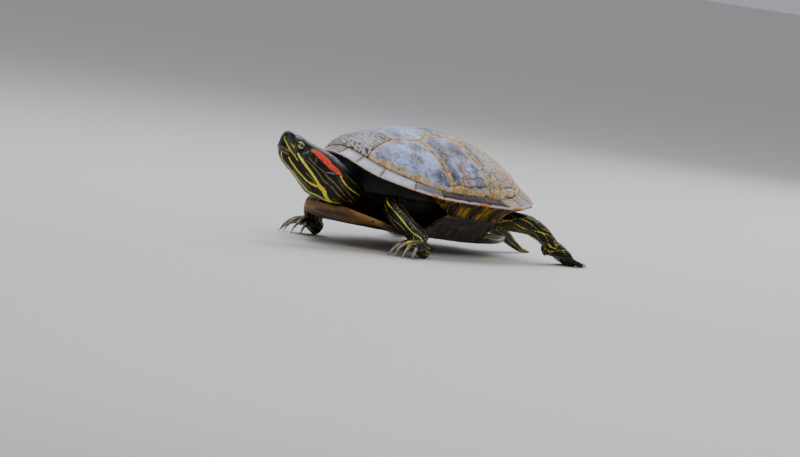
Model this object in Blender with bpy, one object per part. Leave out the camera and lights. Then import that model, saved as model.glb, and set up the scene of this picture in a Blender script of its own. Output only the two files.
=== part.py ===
"""Red-eared slider turtle, life size, standing on four feet with its head raised and turned.

The animal faces -Y and its left side is +X; the floor is z = 0. Everything is first placed in the
shell's own frame, in shares of the carapace length, with the rim of the carapace near z = 0, and
then pitched nose-up and lifted onto the feet. The shell is a dome given by a formula; its horn
plates are patches of that dome. Neck, limbs and tail are lofts along smooth curves, and the head is
one loft parted by the mouth.
"""

import bpy
import numpy as np
from mathutils import Matrix

# ------------------------------------------------------------------ driving dimensions, in metres
CL = 0.200                  # straight length of the carapace
CARAPACE_WIDTH = 0.745 * CL
DOME_HEIGHT = 0.243 * CL    # above the rim
BODY_PITCH = np.radians(3.5)
SHELL_AT = np.array([0.0053, 0.0024, 0.0430])  # where the middle of the rim's plane comes
GAP = 0.0003                # between pieces that touch
PLATE = 0.0026              # thickness of the big horn plates
FLOOR_BLOCK = 0.10

# Shares of the carapace length, from its front edge.
APEX = 0.50
VERTEBRAL_SEAMS = (0.230, 0.420, 0.605, 0.778)       # across the keel
VERTEBRAL_SEAM_HALF = (0.088, 0.086, 0.084, 0.072)   # half width at those seams
VERTEBRAL_CORNERS = (0.342, 0.520, 0.692)            # side corners, where pleural seams start
VERTEBRAL_CORNER_HALF = (0.126, 0.126, 0.118)
MARGINAL_SEAMS = (0.0, 0.030, 0.090, 0.200, 0.310, 0.420, 0.528, 0.652, 0.760, 0.850, 0.920, 0.972, 1.0)
NUCHAL_HALF = 0.035
MARGINAL_BORDER = (0.900, 0.875, 0.860)              # in front, at the side and behind: share of the
                                                     # way from the apex to the rim
MARGINAL_RISE = (0.200, 0.090, 0.330)                # shares of the dome's height at that border
DOME_BULGE = (1.70, 2.15, 2.2)                       # exponents of the dome, in the same three places
DOME_FALL = (0.62, 0.80, 0.95)
RISE_POWER = 4              # how closely the raised border keeps to the neck and the tail
SERRATION = 0.022           # how far each rear marginal steps out past the next one's front corner
PLEURAL_FOOT = (0.040, 0.368, 0.592, 0.805, 0.948)   # where the pleural seams meet the marginals

PLASTRON_BOTTOM = -0.157 * CL
PLASTRON_THICK = 0.0040
BRIDGE_RISE = 0.084 * CL
FRONT_LIP = 0.050 * CL      # the front lobe curls up under the throat
REAR_RISE = 0.022 * CL      # and the rear lobe rises a little towards the tail


# ------------------------------------------------------------------ scene, materials and meshes
def clear_scene():
    for old in list(bpy.data.objects):
        bpy.data.objects.remove(old, do_unlink=True)


def material(name, hex_colour, roughness, metallic=0.0):
    """A Principled BSDF in a colour given as sRGB hex."""
    channels = [int(hex_colour[i:i + 2], 16) / 255 for i in (0, 2, 4)]
    linear = [c / 12.92 if c <= 0.04045 else ((c + 0.055) / 1.055) ** 2.4 for c in channels]
    made = bpy.data.materials.new(name)
    made.use_nodes = True
    shader = made.node_tree.nodes["Principled BSDF"]
    shader.inputs["Base Color"].default_value = (*linear, 1.0)
    shader.inputs["Roughness"].default_value = roughness
    shader.inputs["Metallic"].default_value = metallic
    return made


def to_world(points):
    """From the shell's frame to the world: nose up by BODY_PITCH, then lifted to SHELL_AT."""
    turned = np.asarray(points, float) @ np.array(Matrix.Rotation(-BODY_PITCH, 3, "X")).T
    return turned + SHELL_AT


def add_object(name, points, faces, look, smooth=True):
    mesh = bpy.data.meshes.new(name)
    mesh.from_pydata([tuple(p) for p in points], [], [tuple(int(i) for i in f) for f in faces])
    mesh.validate()
    mesh.materials.append(look)
    if smooth:
        mesh.shade_smooth()
        mesh.set_sharp_from_angle(angle=np.radians(40))
    made = bpy.data.objects.new(name, mesh)
    bpy.context.scene.collection.objects.link(made)
    return made


def as_helper(obj):
    """Keeps a cutter or a joined piece out of renders and of the built part."""
    obj.hide_render = True
    obj.display_type = "WIRE"
    return obj


def boolean(obj, other, operation, solver="EXACT"):
    step = obj.modifiers.new(other.name, "BOOLEAN")
    step.operation = operation
    step.object = other
    step.solver = solver


def grid_solid(top, bottom):
    """A closed solid between two grids of points of one shape (rows, columns, 3)."""
    rows, columns = top.shape[:2]
    index = np.arange(rows * columns).reshape(rows, columns)
    quads = np.stack([index[:-1, :-1], index[1:, :-1], index[1:, 1:], index[:-1, 1:]], -1)
    quads = quads.reshape(-1, 4)
    rim = np.concatenate([index[0, :-1], index[:-1, -1], index[-1, :0:-1], index[:0:-1, 0]])
    after = np.roll(rim, -1)
    lower = rows * columns
    walls = np.stack([rim, after, after + lower, rim + lower], -1)
    points = np.concatenate([top.reshape(-1, 3), bottom.reshape(-1, 3)])
    faces = np.concatenate([quads, quads[:, ::-1] + lower, walls])
    return points, outward(points, faces)


def tube_solid(rings):
    """A closed solid from rings of points (rings, sides, 3), its ends closed by fans."""
    count, sides = rings.shape[:2]
    index = np.arange(count * sides).reshape(count, sides)
    turn = np.roll(index, -1, axis=1)
    quads = np.stack([index[:-1], turn[:-1], turn[1:], index[1:]], -1).reshape(-1, 4)
    points = np.concatenate([rings.reshape(-1, 3), rings[0].mean(0)[None], rings[-1].mean(0)[None]])
    first, last = count * sides, count * sides + 1
    caps = [[turn[0, i], index[0, i], first] for i in range(sides)]
    caps += [[index[-1, i], turn[-1, i], last] for i in range(sides)]
    faces = [list(q) for q in quads] + caps
    return points, outward(points, faces)


def outward(points, faces):
    """The same faces, all turned round if the solid came out inside out."""
    volume = 0.0
    for face in faces:
        for k in range(1, len(face) - 1):
            a, b, c = (points[int(face[j])] for j in (0, k, k + 1))
            volume += np.dot(a, np.cross(b, c))
    return [list(face)[::-1] for face in faces] if volume < 0 else [list(face) for face in faces]


def smooth_stations(stations, count, start=0.0, end=1.0):
    """Rows read at even steps from a Catmull-Rom curve through the given rows."""
    rows = np.asarray(stations, float)
    rows = np.vstack([2 * rows[0] - rows[1], rows, 2 * rows[-1] - rows[-2]])
    place = np.linspace(start, end, count) * (len(rows) - 3)
    base = np.clip(place.astype(int), 0, len(rows) - 4)
    t = (place - base)[:, None]
    p0, p1, p2, p3 = (rows[base + k] for k in range(4))
    return 0.5 * (2 * p1 + (p2 - p0) * t + (2 * p0 - 5 * p1 + 4 * p2 - p3) * t ** 2
                  + (3 * p1 - p0 - 3 * p2 + p3) * t ** 3)


def loft(stations, count, sides, start=0.0, end=1.0, up=(0, 0, 1)):
    """Rings of ellipses along rows (x, y, z, half width, half height), all in metres.

    The rings' frame is carried along the curve from the first ring, where it stands upright.
    """
    rows = smooth_stations(stations, count, start, end)
    centre, half = rows[:, :3], rows[:, 3:5]
    step = 0.002
    ahead = smooth_stations(stations, count, min(start + step, 1 - step), min(end + step, 1.0))
    behind = smooth_stations(stations, count, max(start - step, 0.0), max(end - step, step))
    along = ahead[:, :3] - behind[:, :3]
    along /= np.linalg.norm(along, axis=1)[:, None]
    side = np.empty_like(along)
    carried = np.cross(np.asarray(up, float), along[0])
    for ring, direction in enumerate(along):
        carried = carried - np.dot(carried, direction) * direction
        carried = carried / np.linalg.norm(carried)
        side[ring] = carried
    rise = np.cross(along, side)
    angle = np.linspace(0, 2 * np.pi, sides, endpoint=False)
    return (centre[:, None] + side[:, None] * (np.cos(angle)[None, :, None] * half[:, None, :1])
            + rise[:, None] * (np.sin(angle)[None, :, None] * half[:, None, 1:]))


# ------------------------------------------------------------------ the dome of the shell
def rim_half_width(u):
    """Half the carapace's width at u, the share of its length from the front."""
    k = np.clip(u, 0, 1) ** 1.27
    return CARAPACE_WIDTH / 2 * (4 * k * (1 - k)) ** 0.41


def rim_height(u):
    """The rim turns up over the neck and over the tail."""
    front = np.clip(1 - np.asarray(u) / 0.38, 0, 1) ** 2
    brow = np.clip(1 - np.asarray(u) / 0.10, 0, 1) ** 2
    rear = np.clip((np.asarray(u) - 0.6) / 0.4, 0, 1) ** 2
    return CL * (0.075 * front + 0.032 * brow + 0.050 * rear)


def rim_table(count=721):
    """Angle about the apex, radius and height of the rim, for reading by angle."""
    u = (1 - np.cos(np.linspace(0, np.pi, count))) / 2
    x, y = rim_half_width(u), (u - APEX) * CL
    return np.arctan2(x, -y), np.hypot(x, y), rim_height(u)


RIM_ANGLE, RIM_RADIUS, RIM_Z = rim_table()
APEX_Y = (APEX - 0.5) * CL


def weights(angle):
    """How much a direction from the apex is front, side and rear."""
    front = np.clip(np.cos(angle), 0, 1) ** 2
    rear = np.clip(-np.cos(angle), 0, 1) ** 2
    return front, 1 - front - rear, rear


def mixed(values, angle):
    """A value given for front, side and rear, blended round the shell."""
    return sum(value * weight for value, weight in zip(values, weights(angle)))


def border_rise(angle):
    """Height of the marginals' border: low all along the sides, higher only over neck and tail."""
    front, side, rear = MARGINAL_RISE
    ends = np.where(np.cos(angle) > 0, front - side, rear - side)
    return side + ends * np.abs(np.cos(angle)) ** RISE_POWER


def dome(x, y, share=None):
    """Height of the carapace over a point of its plan: a steep dome inside a flared border."""
    angle = np.arctan2(np.abs(x), -(y - APEX_Y))
    if share is None:
        share = np.hypot(x, y - APEX_Y) / np.interp(angle, RIM_ANGLE, RIM_RADIUS)
    share = np.clip(share, 0, 1)
    border, rise = mixed(MARGINAL_BORDER, angle), border_rise(angle)
    inner = np.clip(share / border, 0, 1)
    bulge, fall = mixed(DOME_BULGE, angle), mixed(DOME_FALL, angle)
    flare = rise * np.minimum((1 - share) / (1 - border), 1)
    edge = np.interp(angle, RIM_ANGLE, RIM_Z)
    return edge * share ** 3 + DOME_HEIGHT * (flare + (1 - rise) * (1 - inner ** bulge) ** fall)


def polar(angle, share):
    """Plan point at a signed angle from the nose (left positive) and a share of the rim's radius."""
    radius = np.interp(np.abs(angle), RIM_ANGLE, RIM_RADIUS) * share
    return radius * np.sin(angle), APEX_Y - radius * np.cos(angle)


def angle_at(u):
    return np.interp(u, (1 - np.cos(np.linspace(0, np.pi, len(RIM_ANGLE)))) / 2, RIM_ANGLE)


def dome_point(x, y):
    return np.stack([x, y, dome(x, y)], -1)


def dome_normal(x, y, step=0.0004):
    slope_x = (dome(x + step, y) - dome(x - step, y)) / (2 * step)
    slope_y = (dome(x, y + step) - dome(x, y - step)) / (2 * step)
    normal = np.stack([-slope_x, -slope_y, np.ones_like(slope_x)], -1)
    return normal / np.linalg.norm(normal, axis=-1, keepdims=True)


def plate_solid(plan_x, plan_y, thickness=PLATE):
    top = dome_point(plan_x, plan_y)
    return grid_solid(top, top - thickness * dome_normal(plan_x, plan_y))


def inset_steps(count, length):
    """Even steps from 0 to 1 drawn in at both ends, so that neighbours keep a gap."""
    inset = 0.6 * GAP / length
    return np.linspace(inset, 1 - inset, count)


def between(first, last, blend):
    """Plan grid between two curves of (x, y) rows: one row of the grid for each step of blend."""
    blend = np.asarray(blend)[:, None, None]
    return first[None] * (1 - blend) + last[None] * blend


# ------------------------------------------------------------------ horn plates
STEPS = 7                   # points along each side of a big plate
TAIL_DRAW = 0.994           # the last vertebral draws in a little, as its border is the most curved


def inner_border(turn):
    """The seam between the marginals and the plates inside them, at angles about the apex."""
    return np.stack(polar(turn, mixed(MARGINAL_BORDER, turn) - 0.0020), -1)


def corner_points():
    """Plan corners of the left pleurals along the vertebrals, from the nuchal to the tail."""
    seams = [(half * CL, (u - 0.5) * CL) for u, half in zip(VERTEBRAL_SEAMS, VERTEBRAL_SEAM_HALF)]
    corners = [(half * CL, (u - 0.5) * CL) for u, half in zip(VERTEBRAL_CORNERS, VERTEBRAL_CORNER_HALF)]
    front = inner_border(angle_at(PLEURAL_FOOT[0]))
    rear = inner_border(angle_at(PLEURAL_FOOT[-1])) * TAIL_DRAW
    chain = [front, seams[0], corners[0], seams[1], corners[1], seams[2], corners[2], seams[3], rear]
    return np.array([np.asarray(point, float) for point in chain])


def make_vertebrals(look):
    """Five hexagons on the keel. The first and last end on the marginals' curved border."""
    chain = corner_points()
    mirrored = chain * (-1, 1)
    across = np.linspace(0, 1, STEPS)
    turn = angle_at(PLEURAL_FOOT[0]) * (1 - 2 * across)
    tail_turn = np.pi - (np.pi - angle_at(PLEURAL_FOOT[-1])) * (1 - 2 * across)
    tail_border = inner_border(tail_turn) * TAIL_DRAW
    bounds = (((inner_border(turn), 0), (None, 1)), ((None, 1), (None, 2), (None, 3)),
              ((None, 3), (None, 4), (None, 5)), ((None, 5), (None, 6), (None, 7)),
              ((None, 7), (tail_border, 8)))
    for number, rows in enumerate(bounds):
        lines = []
        for curve, place in rows:
            straight = between(chain[place][None], mirrored[place][None], across)[:, 0]
            lines.append(straight if curve is None else curve)
        middle = lines[1] if len(lines) == 3 else (lines[0] + lines[1]) / 2
        steps = inset_steps(4, 0.11 * CL)
        first = between(lines[0], middle, steps * 1.0)[:-1]
        second = between(middle, lines[-1], (steps - steps[0]) / (1 - steps[0]) * (1 - steps[0]))
        plan = np.concatenate([first, middle[None], second[1:]])
        plan[..., 0] *= 1 - 0.6 * GAP / (0.1 * CL)
        points, faces = plate_solid(plan[..., 0], plan[..., 1])
        add_object(f"vertebral_{number + 1}", to_world(points), faces, look)


def make_pleurals(look):
    """Four plates on each side, from the vertebrals' corners down to the marginals."""
    chain = corner_points()
    steps = inset_steps(STEPS, 0.2 * CL)
    for number in range(4):
        start, kink, end = chain[2 * number:2 * number + 3]
        rise = np.clip(2 * steps, 0, 1)[:, None]
        fall = np.clip(2 * steps - 1, 0, 1)[:, None]
        inner = start + (kink - start) * rise + (end - kink) * fall + (0.6 * GAP, 0)
        foot = [angle_at(u) for u in PLEURAL_FOOT[number:number + 2]]
        outer = inner_border(foot[0] + (foot[1] - foot[0]) * steps)
        if number in (0, 3):
            narrow = steps if number == 0 else 1 - steps
            inner = inner + (outer - inner) * 0.002 * (1 - narrow)[:, None]
        plan = between(inner, outer, np.linspace(0, 1, STEPS - 1))
        for side, word in ((1, "left"), (-1, "right")):
            points, faces = plate_solid(side * plan[..., 0], plan[..., 1])
            add_object(f"pleural_{word}_{number + 1}", to_world(points), faces, look)


def underside(angle, share):
    """How far the marginals' underside lies below their top: thin flared ends, deep bridge sides."""
    u = np.interp(np.abs(angle), RIM_ANGLE, (1 - np.cos(np.linspace(0, np.pi, len(RIM_ANGLE)))) / 2)
    bridge = np.clip((u - 0.27) / 0.10, 0, 1) * np.clip((0.76 - u) / 0.10, 0, 1)
    inward = (1 - share) / (1 - mixed(MARGINAL_BORDER, angle))
    flared = 0.0016 + 0.0040 * inward
    x, y = polar(angle, share)
    deep = 0.0016 + (dome(x, y) + 0.046 * CL) * np.minimum(inward, 1)
    return flared * (1 - bridge) + deep * bridge


def marginal_solid(first, last, side):
    """One marginal plate between two angles about the apex."""
    length = abs(last - first) * 0.4 * CL
    turn = side * (first + (last - first) * inset_steps(4, length))
    angle, blend = np.meshgrid(turn, [0.0, 0.5, 1.0], indexing="ij")
    inner = mixed(MARGINAL_BORDER, angle) + 0.0014
    forward = np.linspace(1, 0, len(turn))[:, None] * np.clip((np.abs(first) - 1.6) / 0.5, 0, 1)
    share = inner + (1 - SERRATION * forward - inner) * blend
    x, y = polar(angle, share)
    top = np.stack([x, y, dome(x, y, share)], -1)
    bottom = top.copy()
    bottom[..., 2] -= underside(angle, share)
    return grid_solid(top, bottom)


def make_marginals(look):
    seams = [angle_at(u) for u in MARGINAL_SEAMS]
    nuchal = np.arctan2(NUCHAL_HALF * CL, APEX * CL)
    seams[0] = nuchal
    points, faces = marginal_solid(-nuchal, nuchal, 1)
    add_object("nuchal", to_world(points), faces, look)
    for side, word in ((1, "left"), (-1, "right")):
        for number in range(12):
            points, faces = marginal_solid(seams[number], seams[number + 1], side)
            add_object(f"marginal_{word}_{number + 1:02d}", to_world(points), faces, look)


def smoothstep(t):
    t = np.clip(t, 0, 1)
    return t * t * (3 - 2 * t)


def plastron_half(u):
    """Half width: rounded front lobe, bridges out to the marginals, rear lobe with a notch."""
    lobe = 0.100 + 0.122 * np.sin(np.pi / 2 * np.clip((u - 0.030) / 0.19, 0, 1)) ** 0.9
    lobe = lobe - 0.105 * np.clip((u - 0.72) / 0.22, 0, 1) ** 1.6
    bridge = smoothstep((u - 0.315) / 0.05) * smoothstep((0.685 - u) / 0.05)
    return (lobe + 0.089 * bridge) * CL


def plastron_surface(u, across):
    """Underside of the plastron: flat, curling up at its sides, bridges and front lip."""
    x = plastron_half(u) * across
    bridge = smoothstep((u - 0.30) / 0.07) * smoothstep((0.70 - u) / 0.07)
    steep = smoothstep((np.abs(x) / CL - 0.19) / 0.115)
    rise = BRIDGE_RISE * steep * (0.45 + 0.55 * bridge)
    lip = FRONT_LIP * np.clip((0.27 - u) / 0.24, 0, 1) ** 1.6
    tail = REAR_RISE * np.clip((u - 0.60) / 0.34, 0, 1) ** 1.4
    notch = 0.022 * CL * np.clip((u - 0.80) / 0.14, 0, 1) * (1 - np.abs(across)) ** 2
    return np.stack([x, (u - 0.5) * CL - notch, PLASTRON_BOTTOM + rise + lip + tail], -1)


def make_plastron(look):
    u = np.array([0.035, 0.07, 0.12, 0.18, 0.25, 0.31, 0.345, 0.39, 0.45, 0.51, 0.57, 0.62, 0.655,
                  0.69, 0.74, 0.80, 0.86, 0.91, 0.945])
    across = np.sin(np.linspace(-np.pi / 2, np.pi / 2, 11))
    low = plastron_surface(*np.meshgrid(u, across, indexing="ij"))
    high = low.copy()
    high[..., 2] += PLASTRON_THICK
    points, faces = grid_solid(high, low)
    return add_object("plastron", to_world(points), faces, look)


# ------------------------------------------------------------------ trunk
TRUNK_SIDES = 28
TRUNK_TOP_SHARES = (0.26, 0.50, 0.67, 0.775)
TRUNK_WALL = ((0.775, -0.008), (0.745, -0.032), (0.695, -0.066), (0.615, -0.100), (0.500, -0.129))


def trunk_solid(swell=0.0):
    """The body inside the shell: under the plates, down its wall and across the plastron."""
    angle = np.linspace(-np.pi, np.pi, TRUNK_SIDES, endpoint=False)
    rings = []
    for share in TRUNK_TOP_SHARES:
        x, y = polar(angle, share)
        point = dome_point(x, y)
        rings.append(point - (PLATE + 2 * GAP - swell) * dome_normal(x, y))
    rings[-1][:, 2] -= 0.012 * CL
    for share, height in TRUNK_WALL:
        x, y = polar(angle, share + swell / (0.4 * CL))
        sink = np.full_like(x, height * CL - (swell if height < -0.1 else 0.0))
        rings.append(np.stack([x, y, sink], -1))
    rings = np.array(rings)
    points, faces = tube_solid(rings)
    crown = len(points) - 2
    points[crown] = (0.0, APEX_Y, DOME_HEIGHT - PLATE - 2 * GAP + swell)
    return points, faces


# ------------------------------------------------------------------ head, neck and tail
BEAK_TIP = np.array([-0.041, -0.737, 0.087]) * CL    # where the lips meet in front
HEAD_FORWARD = np.array([-0.401, -0.813, 0.422])
HEAD_FORWARD /= np.linalg.norm(HEAD_FORWARD)
HEAD_UP = np.array([0.0, 0.0, 1.0]) - HEAD_FORWARD[2] * HEAD_FORWARD
HEAD_UP /= np.linalg.norm(HEAD_UP)
HEAD_LEFT = np.cross(HEAD_UP, HEAD_FORWARD)
MM = 0.001
# Distance behind the beak's tip, top, bottom and half width, in mm; the mouth is at height 0.
HEAD_SECTIONS = (
    (-3.2, 12.2, 8.0, 2.4),
    (-2.3, 13.6, 5.2, 4.2),
    (-0.4, 15.0, -0.6, 6.2),
    (3.0, 15.8, -4.2, 8.4),
    (7.5, 16.4, -6.9, 10.2),
    (12.5, 16.8, -8.3, 12.0),
    (18.0, 17.0, -9.4, 13.6),
    (24.0, 17.8, -11.2, 14.8),
    (30.0, 18.6, -13.2, 15.0),
    (36.0, 19.2, -15.2, 14.6),
)
MOUTH_CORNER = 14.0
EYE_AT = (10.3, 8.8, 7.1)     # behind the tip, above the mouth, out from the middle, in mm
EYE_RADIUS = 4.3


def head_point(back, left, up):
    """A point of the head, in mm behind the beak's tip, to the left and above the mouth."""
    back, left, up = (np.asarray(v, float)[..., None] * MM for v in (back, left, up))
    return BEAK_TIP - back * HEAD_FORWARD + left * HEAD_LEFT + up * HEAD_UP


def head_rings(sides=16, count=13):
    rows = smooth_stations([(s[0], s[1], s[2], s[3]) for s in HEAD_SECTIONS], count)
    angle = np.linspace(0, 2 * np.pi, sides, endpoint=False)
    across = np.sign(np.cos(angle)) * np.abs(np.cos(angle)) ** 0.86
    above = np.sign(np.sin(angle)) * np.abs(np.sin(angle)) ** 0.86
    narrow_top = 1 - 0.20 * np.clip(above, 0, 1)
    back = np.broadcast_to(rows[:, :1], (count, sides))
    left = rows[:, 3:4] * across * narrow_top
    middle, half = (rows[:, 1:2] + rows[:, 2:3]) / 2, (rows[:, 1:2] - rows[:, 2:3]) / 2
    return head_point(back, left, middle + half * above)


def head_block(back_from, back_to, up_from, up_to, half=30.0):
    """A box in the head's own frame, for parting the jaw from the head."""
    corners = [head_point(b, s * half, u)
               for b in (back_from, back_to) for s in (-1, 1) for u in (up_from, up_to)]
    faces = [(0, 1, 3, 2), (4, 6, 7, 5), (0, 4, 5, 1), (2, 3, 7, 6), (0, 2, 6, 4), (1, 5, 7, 3)]
    return np.array(corners), outward(np.array(corners), faces)


def ball(centre, radius, sides=12, rows=8):
    rise = np.linspace(-np.pi / 2, np.pi / 2, rows + 1)[1:-1]
    turn = np.linspace(0, 2 * np.pi, sides, endpoint=False)
    ring = np.stack([np.cos(rise)[:, None] * np.cos(turn), np.cos(rise)[:, None] * np.sin(turn),
                     np.broadcast_to(np.sin(rise)[:, None], (rows - 1, sides))], -1)
    points, faces = tube_solid(ring)
    points[-2], points[-1] = (0, 0, -1), (0, 0, 1)
    return points * radius + centre, faces


def make_head(skin, horn, eye):
    points, faces = tube_solid(head_rings())
    head = add_object("head", to_world(points), faces, skin)
    jaw = add_object("lower_jaw", to_world(points), faces, horn)
    part = as_helper(add_object("jaw_cut", *world_solid(head_block(-20, MOUTH_CORNER, -40, 0.15)), horn))
    keep = as_helper(add_object("jaw_keep", *world_solid(head_block(
        -20, MOUTH_CORNER - 0.3, -40, -0.15)), horn))
    boolean(head, part, "DIFFERENCE")
    boolean(jaw, keep, "INTERSECT")
    for side, word in ((1, "left"), (-1, "right")):
        centre = head_point(EYE_AT[0], side * EYE_AT[2], EYE_AT[1])
        points, faces = ball(centre, EYE_RADIUS * MM)
        add_object(f"eye_{word}", to_world(points), faces, eye)
        points, faces = ball(centre, EYE_RADIUS * MM + GAP)
        socket = as_helper(add_object(f"socket_{word}", to_world(points), faces, skin))
        boolean(head, socket, "DIFFERENCE")


def world_solid(solid):
    points, faces = solid
    return to_world(points), faces


def scaled(rows):
    return [tuple(v * CL for v in row) for row in rows]


HEAD_END = 36.0
# x, y, z, half width, half height, as shares of the carapace length.
NECK_END = tuple(head_point(HEAD_END + 0.7, 0.0, 2.0) / CL)
NECK_STATIONS = (
    (0.004, -0.330, -0.032, 0.080, 0.060),
    (0.012, -0.405, -0.030, 0.080, 0.058),
    (0.033, -0.470, -0.015, 0.079, 0.071),
    (0.046, -0.522, -0.004, 0.077, 0.080),
    (*tuple(head_point(41.5, 0.0, 2.2) / CL), 0.074, 0.0865),
    (*NECK_END, 0.073, 0.0860),
)
TAIL_STATIONS = (
    (0.000, 0.330, -0.055, 0.060, 0.045),
    (0.000, 0.420, -0.062, 0.052, 0.042),
    (0.002, 0.500, -0.084, 0.038, 0.036),
    (0.006, 0.580, -0.120, 0.025, 0.025),
    (0.010, 0.660, -0.156, 0.014, 0.015),
    (0.014, 0.725, -0.170, 0.006, 0.007),
)

# Limbs: shoulder or hip, joints and wrist or ankle. The left limbs first, then the right ones.
FORE_LEFT = (
    (0.100, -0.200, -0.058, 0.040, 0.036),
    (0.145, -0.262, -0.060, 0.041, 0.037),
    (0.190, -0.312, -0.068, 0.041, 0.036),
    (0.236, -0.328, -0.092, 0.040, 0.034),
    (0.274, -0.304, -0.126, 0.038, 0.031),
    (0.299, -0.272, -0.152, 0.036, 0.028),
    (0.309, -0.256, -0.172, 0.035, 0.026),
)
FORE_RIGHT = (
    (-0.100, -0.190, -0.058, 0.040, 0.036),
    (-0.150, -0.232, -0.062, 0.041, 0.037),
    (-0.202, -0.258, -0.074, 0.041, 0.036),
    (-0.248, -0.252, -0.100, 0.040, 0.034),
    (-0.280, -0.222, -0.130, 0.038, 0.031),
    (-0.302, -0.190, -0.154, 0.036, 0.028),
    (-0.311, -0.172, -0.174, 0.035, 0.026),
)
HIND_LEFT = (
    (0.110, 0.205, -0.056, 0.046, 0.040),
    (0.180, 0.250, -0.050, 0.047, 0.041),
    (0.250, 0.296, -0.050, 0.046, 0.040),
    (0.304, 0.340, -0.054, 0.042, 0.037),
    (0.328, 0.388, -0.074, 0.037, 0.033),
    (0.338, 0.424, -0.096, 0.034, 0.029),
    (0.344, 0.448, -0.112, 0.032, 0.026),
)
HIND_RIGHT = (
    (-0.110, 0.195, -0.056, 0.046, 0.040),
    (-0.180, 0.232, -0.052, 0.047, 0.041),
    (-0.255, 0.264, -0.056, 0.046, 0.040),
    (-0.318, 0.300, -0.074, 0.042, 0.037),
    (-0.350, 0.340, -0.094, 0.037, 0.033),
    (-0.366, 0.374, -0.112, 0.034, 0.029),
    (-0.376, 0.396, -0.124, 0.032, 0.026),
)
LIMB_CUT = 0.36             # share of the way along, where the upper length ends
LIMB_SLIT = 0.004
UPPER_LIMB = (6, 12)        # rings and sides of the two lengths
LOWER_LIMB = (8, 12)


def make_limb(names, stations, cutter, look):
    """Two lengths of one loft, with a thin cut between them, its root trimmed to the trunk."""
    upper = tube_solid(loft(scaled(stations), *UPPER_LIMB, 0.0, LIMB_CUT - LIMB_SLIT))
    lower = tube_solid(loft(scaled(stations), *LOWER_LIMB, LIMB_CUT + LIMB_SLIT, 1.0))
    boolean(add_object(names[0], *world_solid(upper), look), cutter, "DIFFERENCE")
    add_object(names[1], *world_solid(lower), look)


def wrist_cutter(name, stations, look):
    """The end of a limb, larger by the gap, which makes room for it in the hand or foot."""
    rows = np.array(scaled(stations))
    rows[:, 3:5] += GAP
    rings = loft(rows, *LOWER_LIMB, LIMB_CUT + LIMB_SLIT, 1.0)
    last = rings[-1].mean(0) - rings[-2].mean(0)
    rings[-1] += last / np.linalg.norm(last) * GAP
    return as_helper(add_object(name, *world_solid(tube_solid(rings)), look))


# Hands and feet in mm: rows of (ahead of the wrist, height, half width, half height) for the palm,
# and of (ahead, height) for a digit's root, knuckle and tip and its claw's middle and point.
HAND = {
    "palm": ((-5.0, 4.2, 5.4, 6.2), (0.5, 7.8, 6.8, 6.2), (7.0, 9.8, 8.0, 4.6), (12.0, 10.4, 7.2, 3.2)),
    "digit": ((7.0, 9.6), (13.0, 11.4), (17.0, 10.2), (24.0, 6.4), (29.0, 0.6)),
    "fan": 24.0, "digit_half": 2.5, "claw_half": 1.25, "drop": 2.4,
}
FOOT = {
    "palm": ((-5.5, 12.0, 6.0, 5.4), (1.0, 12.4, 8.0, 6.4), (10.0, 9.0, 9.8, 5.2), (19.0, 1.9, 10.8, 3.0)),
    "digit": ((11.0, 6.4), (18.0, 4.2), (24.0, 2.2), (27.4, 2.2), (30.4, 0.6)),
    "fan": 20.0, "digit_half": 2.4, "claw_half": 1.2, "drop": 0.4,
}


def make_paw(name, stations, heading, shape, floor_block, look):
    """A hand or foot: a palm and five digits with curved claws, joined in one solid."""
    wrist = to_world(np.array(stations[-1][:3]) * CL)
    ahead = np.array([*heading, 0.0]) / np.hypot(*heading)
    side = np.cross(ahead, (0, 0, 1.0))

    def place(forward, across, height):
        return (wrist + (ahead * forward + side * across) * MM) * (1, 1, 0) + (0, 0, height * MM)

    rows = [(*place(f, 0, z), w * MM, h * MM) for f, z, w, h in shape["palm"]]
    points, faces = tube_solid(loft(rows, 6, 10))
    paw = add_object(name, points, faces, look)
    palm_half = shape["palm"][-1][2]
    for number in range(5):
        share = number / 2 - 1
        turn = np.radians(shape["fan"]) * share
        shorter = 1 - 0.20 * share ** 2
        root_ahead = shape["digit"][0][0]
        rows = []
        for step, (forward, height) in enumerate(shape["digit"]):
            out = (forward - root_ahead) * shorter
            half = shape["digit_half"] if step < 3 else shape["claw_half"] * (1.0, 0.4)[step - 3]
            lower = shape["drop"] * share ** 2 * (step < 4)
            rows.append((*place(root_ahead + out * np.cos(turn),
                                palm_half * 0.76 * share + out * np.sin(turn),
                                max(height - lower, half * 0.9)), half * MM, half * MM))
        points, faces = tube_solid(loft(rows, 7, 5))
        finger = as_helper(add_object(f"{name}_digit_{number + 1}", points, faces, look))
        boolean(paw, finger, "UNION", "MANIFOLD")
    boolean(paw, wrist_cutter(f"{name}_wrist", stations, look), "DIFFERENCE", "MANIFOLD")
    boolean(paw, floor_block, "DIFFERENCE", "MANIFOLD")


def make_floor_block(look):
    """Everything below the floor is cut away, which leaves small flats under the feet."""
    x, y = np.meshgrid([-2 * CL, 2 * CL], [-2 * CL, 2 * CL], indexing="ij")
    high = np.stack([x, y, np.zeros_like(x)], -1)
    low = high - (0, 0, FLOOR_BLOCK)
    points, faces = grid_solid(high, low)
    return as_helper(add_object("floor_block", points, faces, look))


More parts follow.
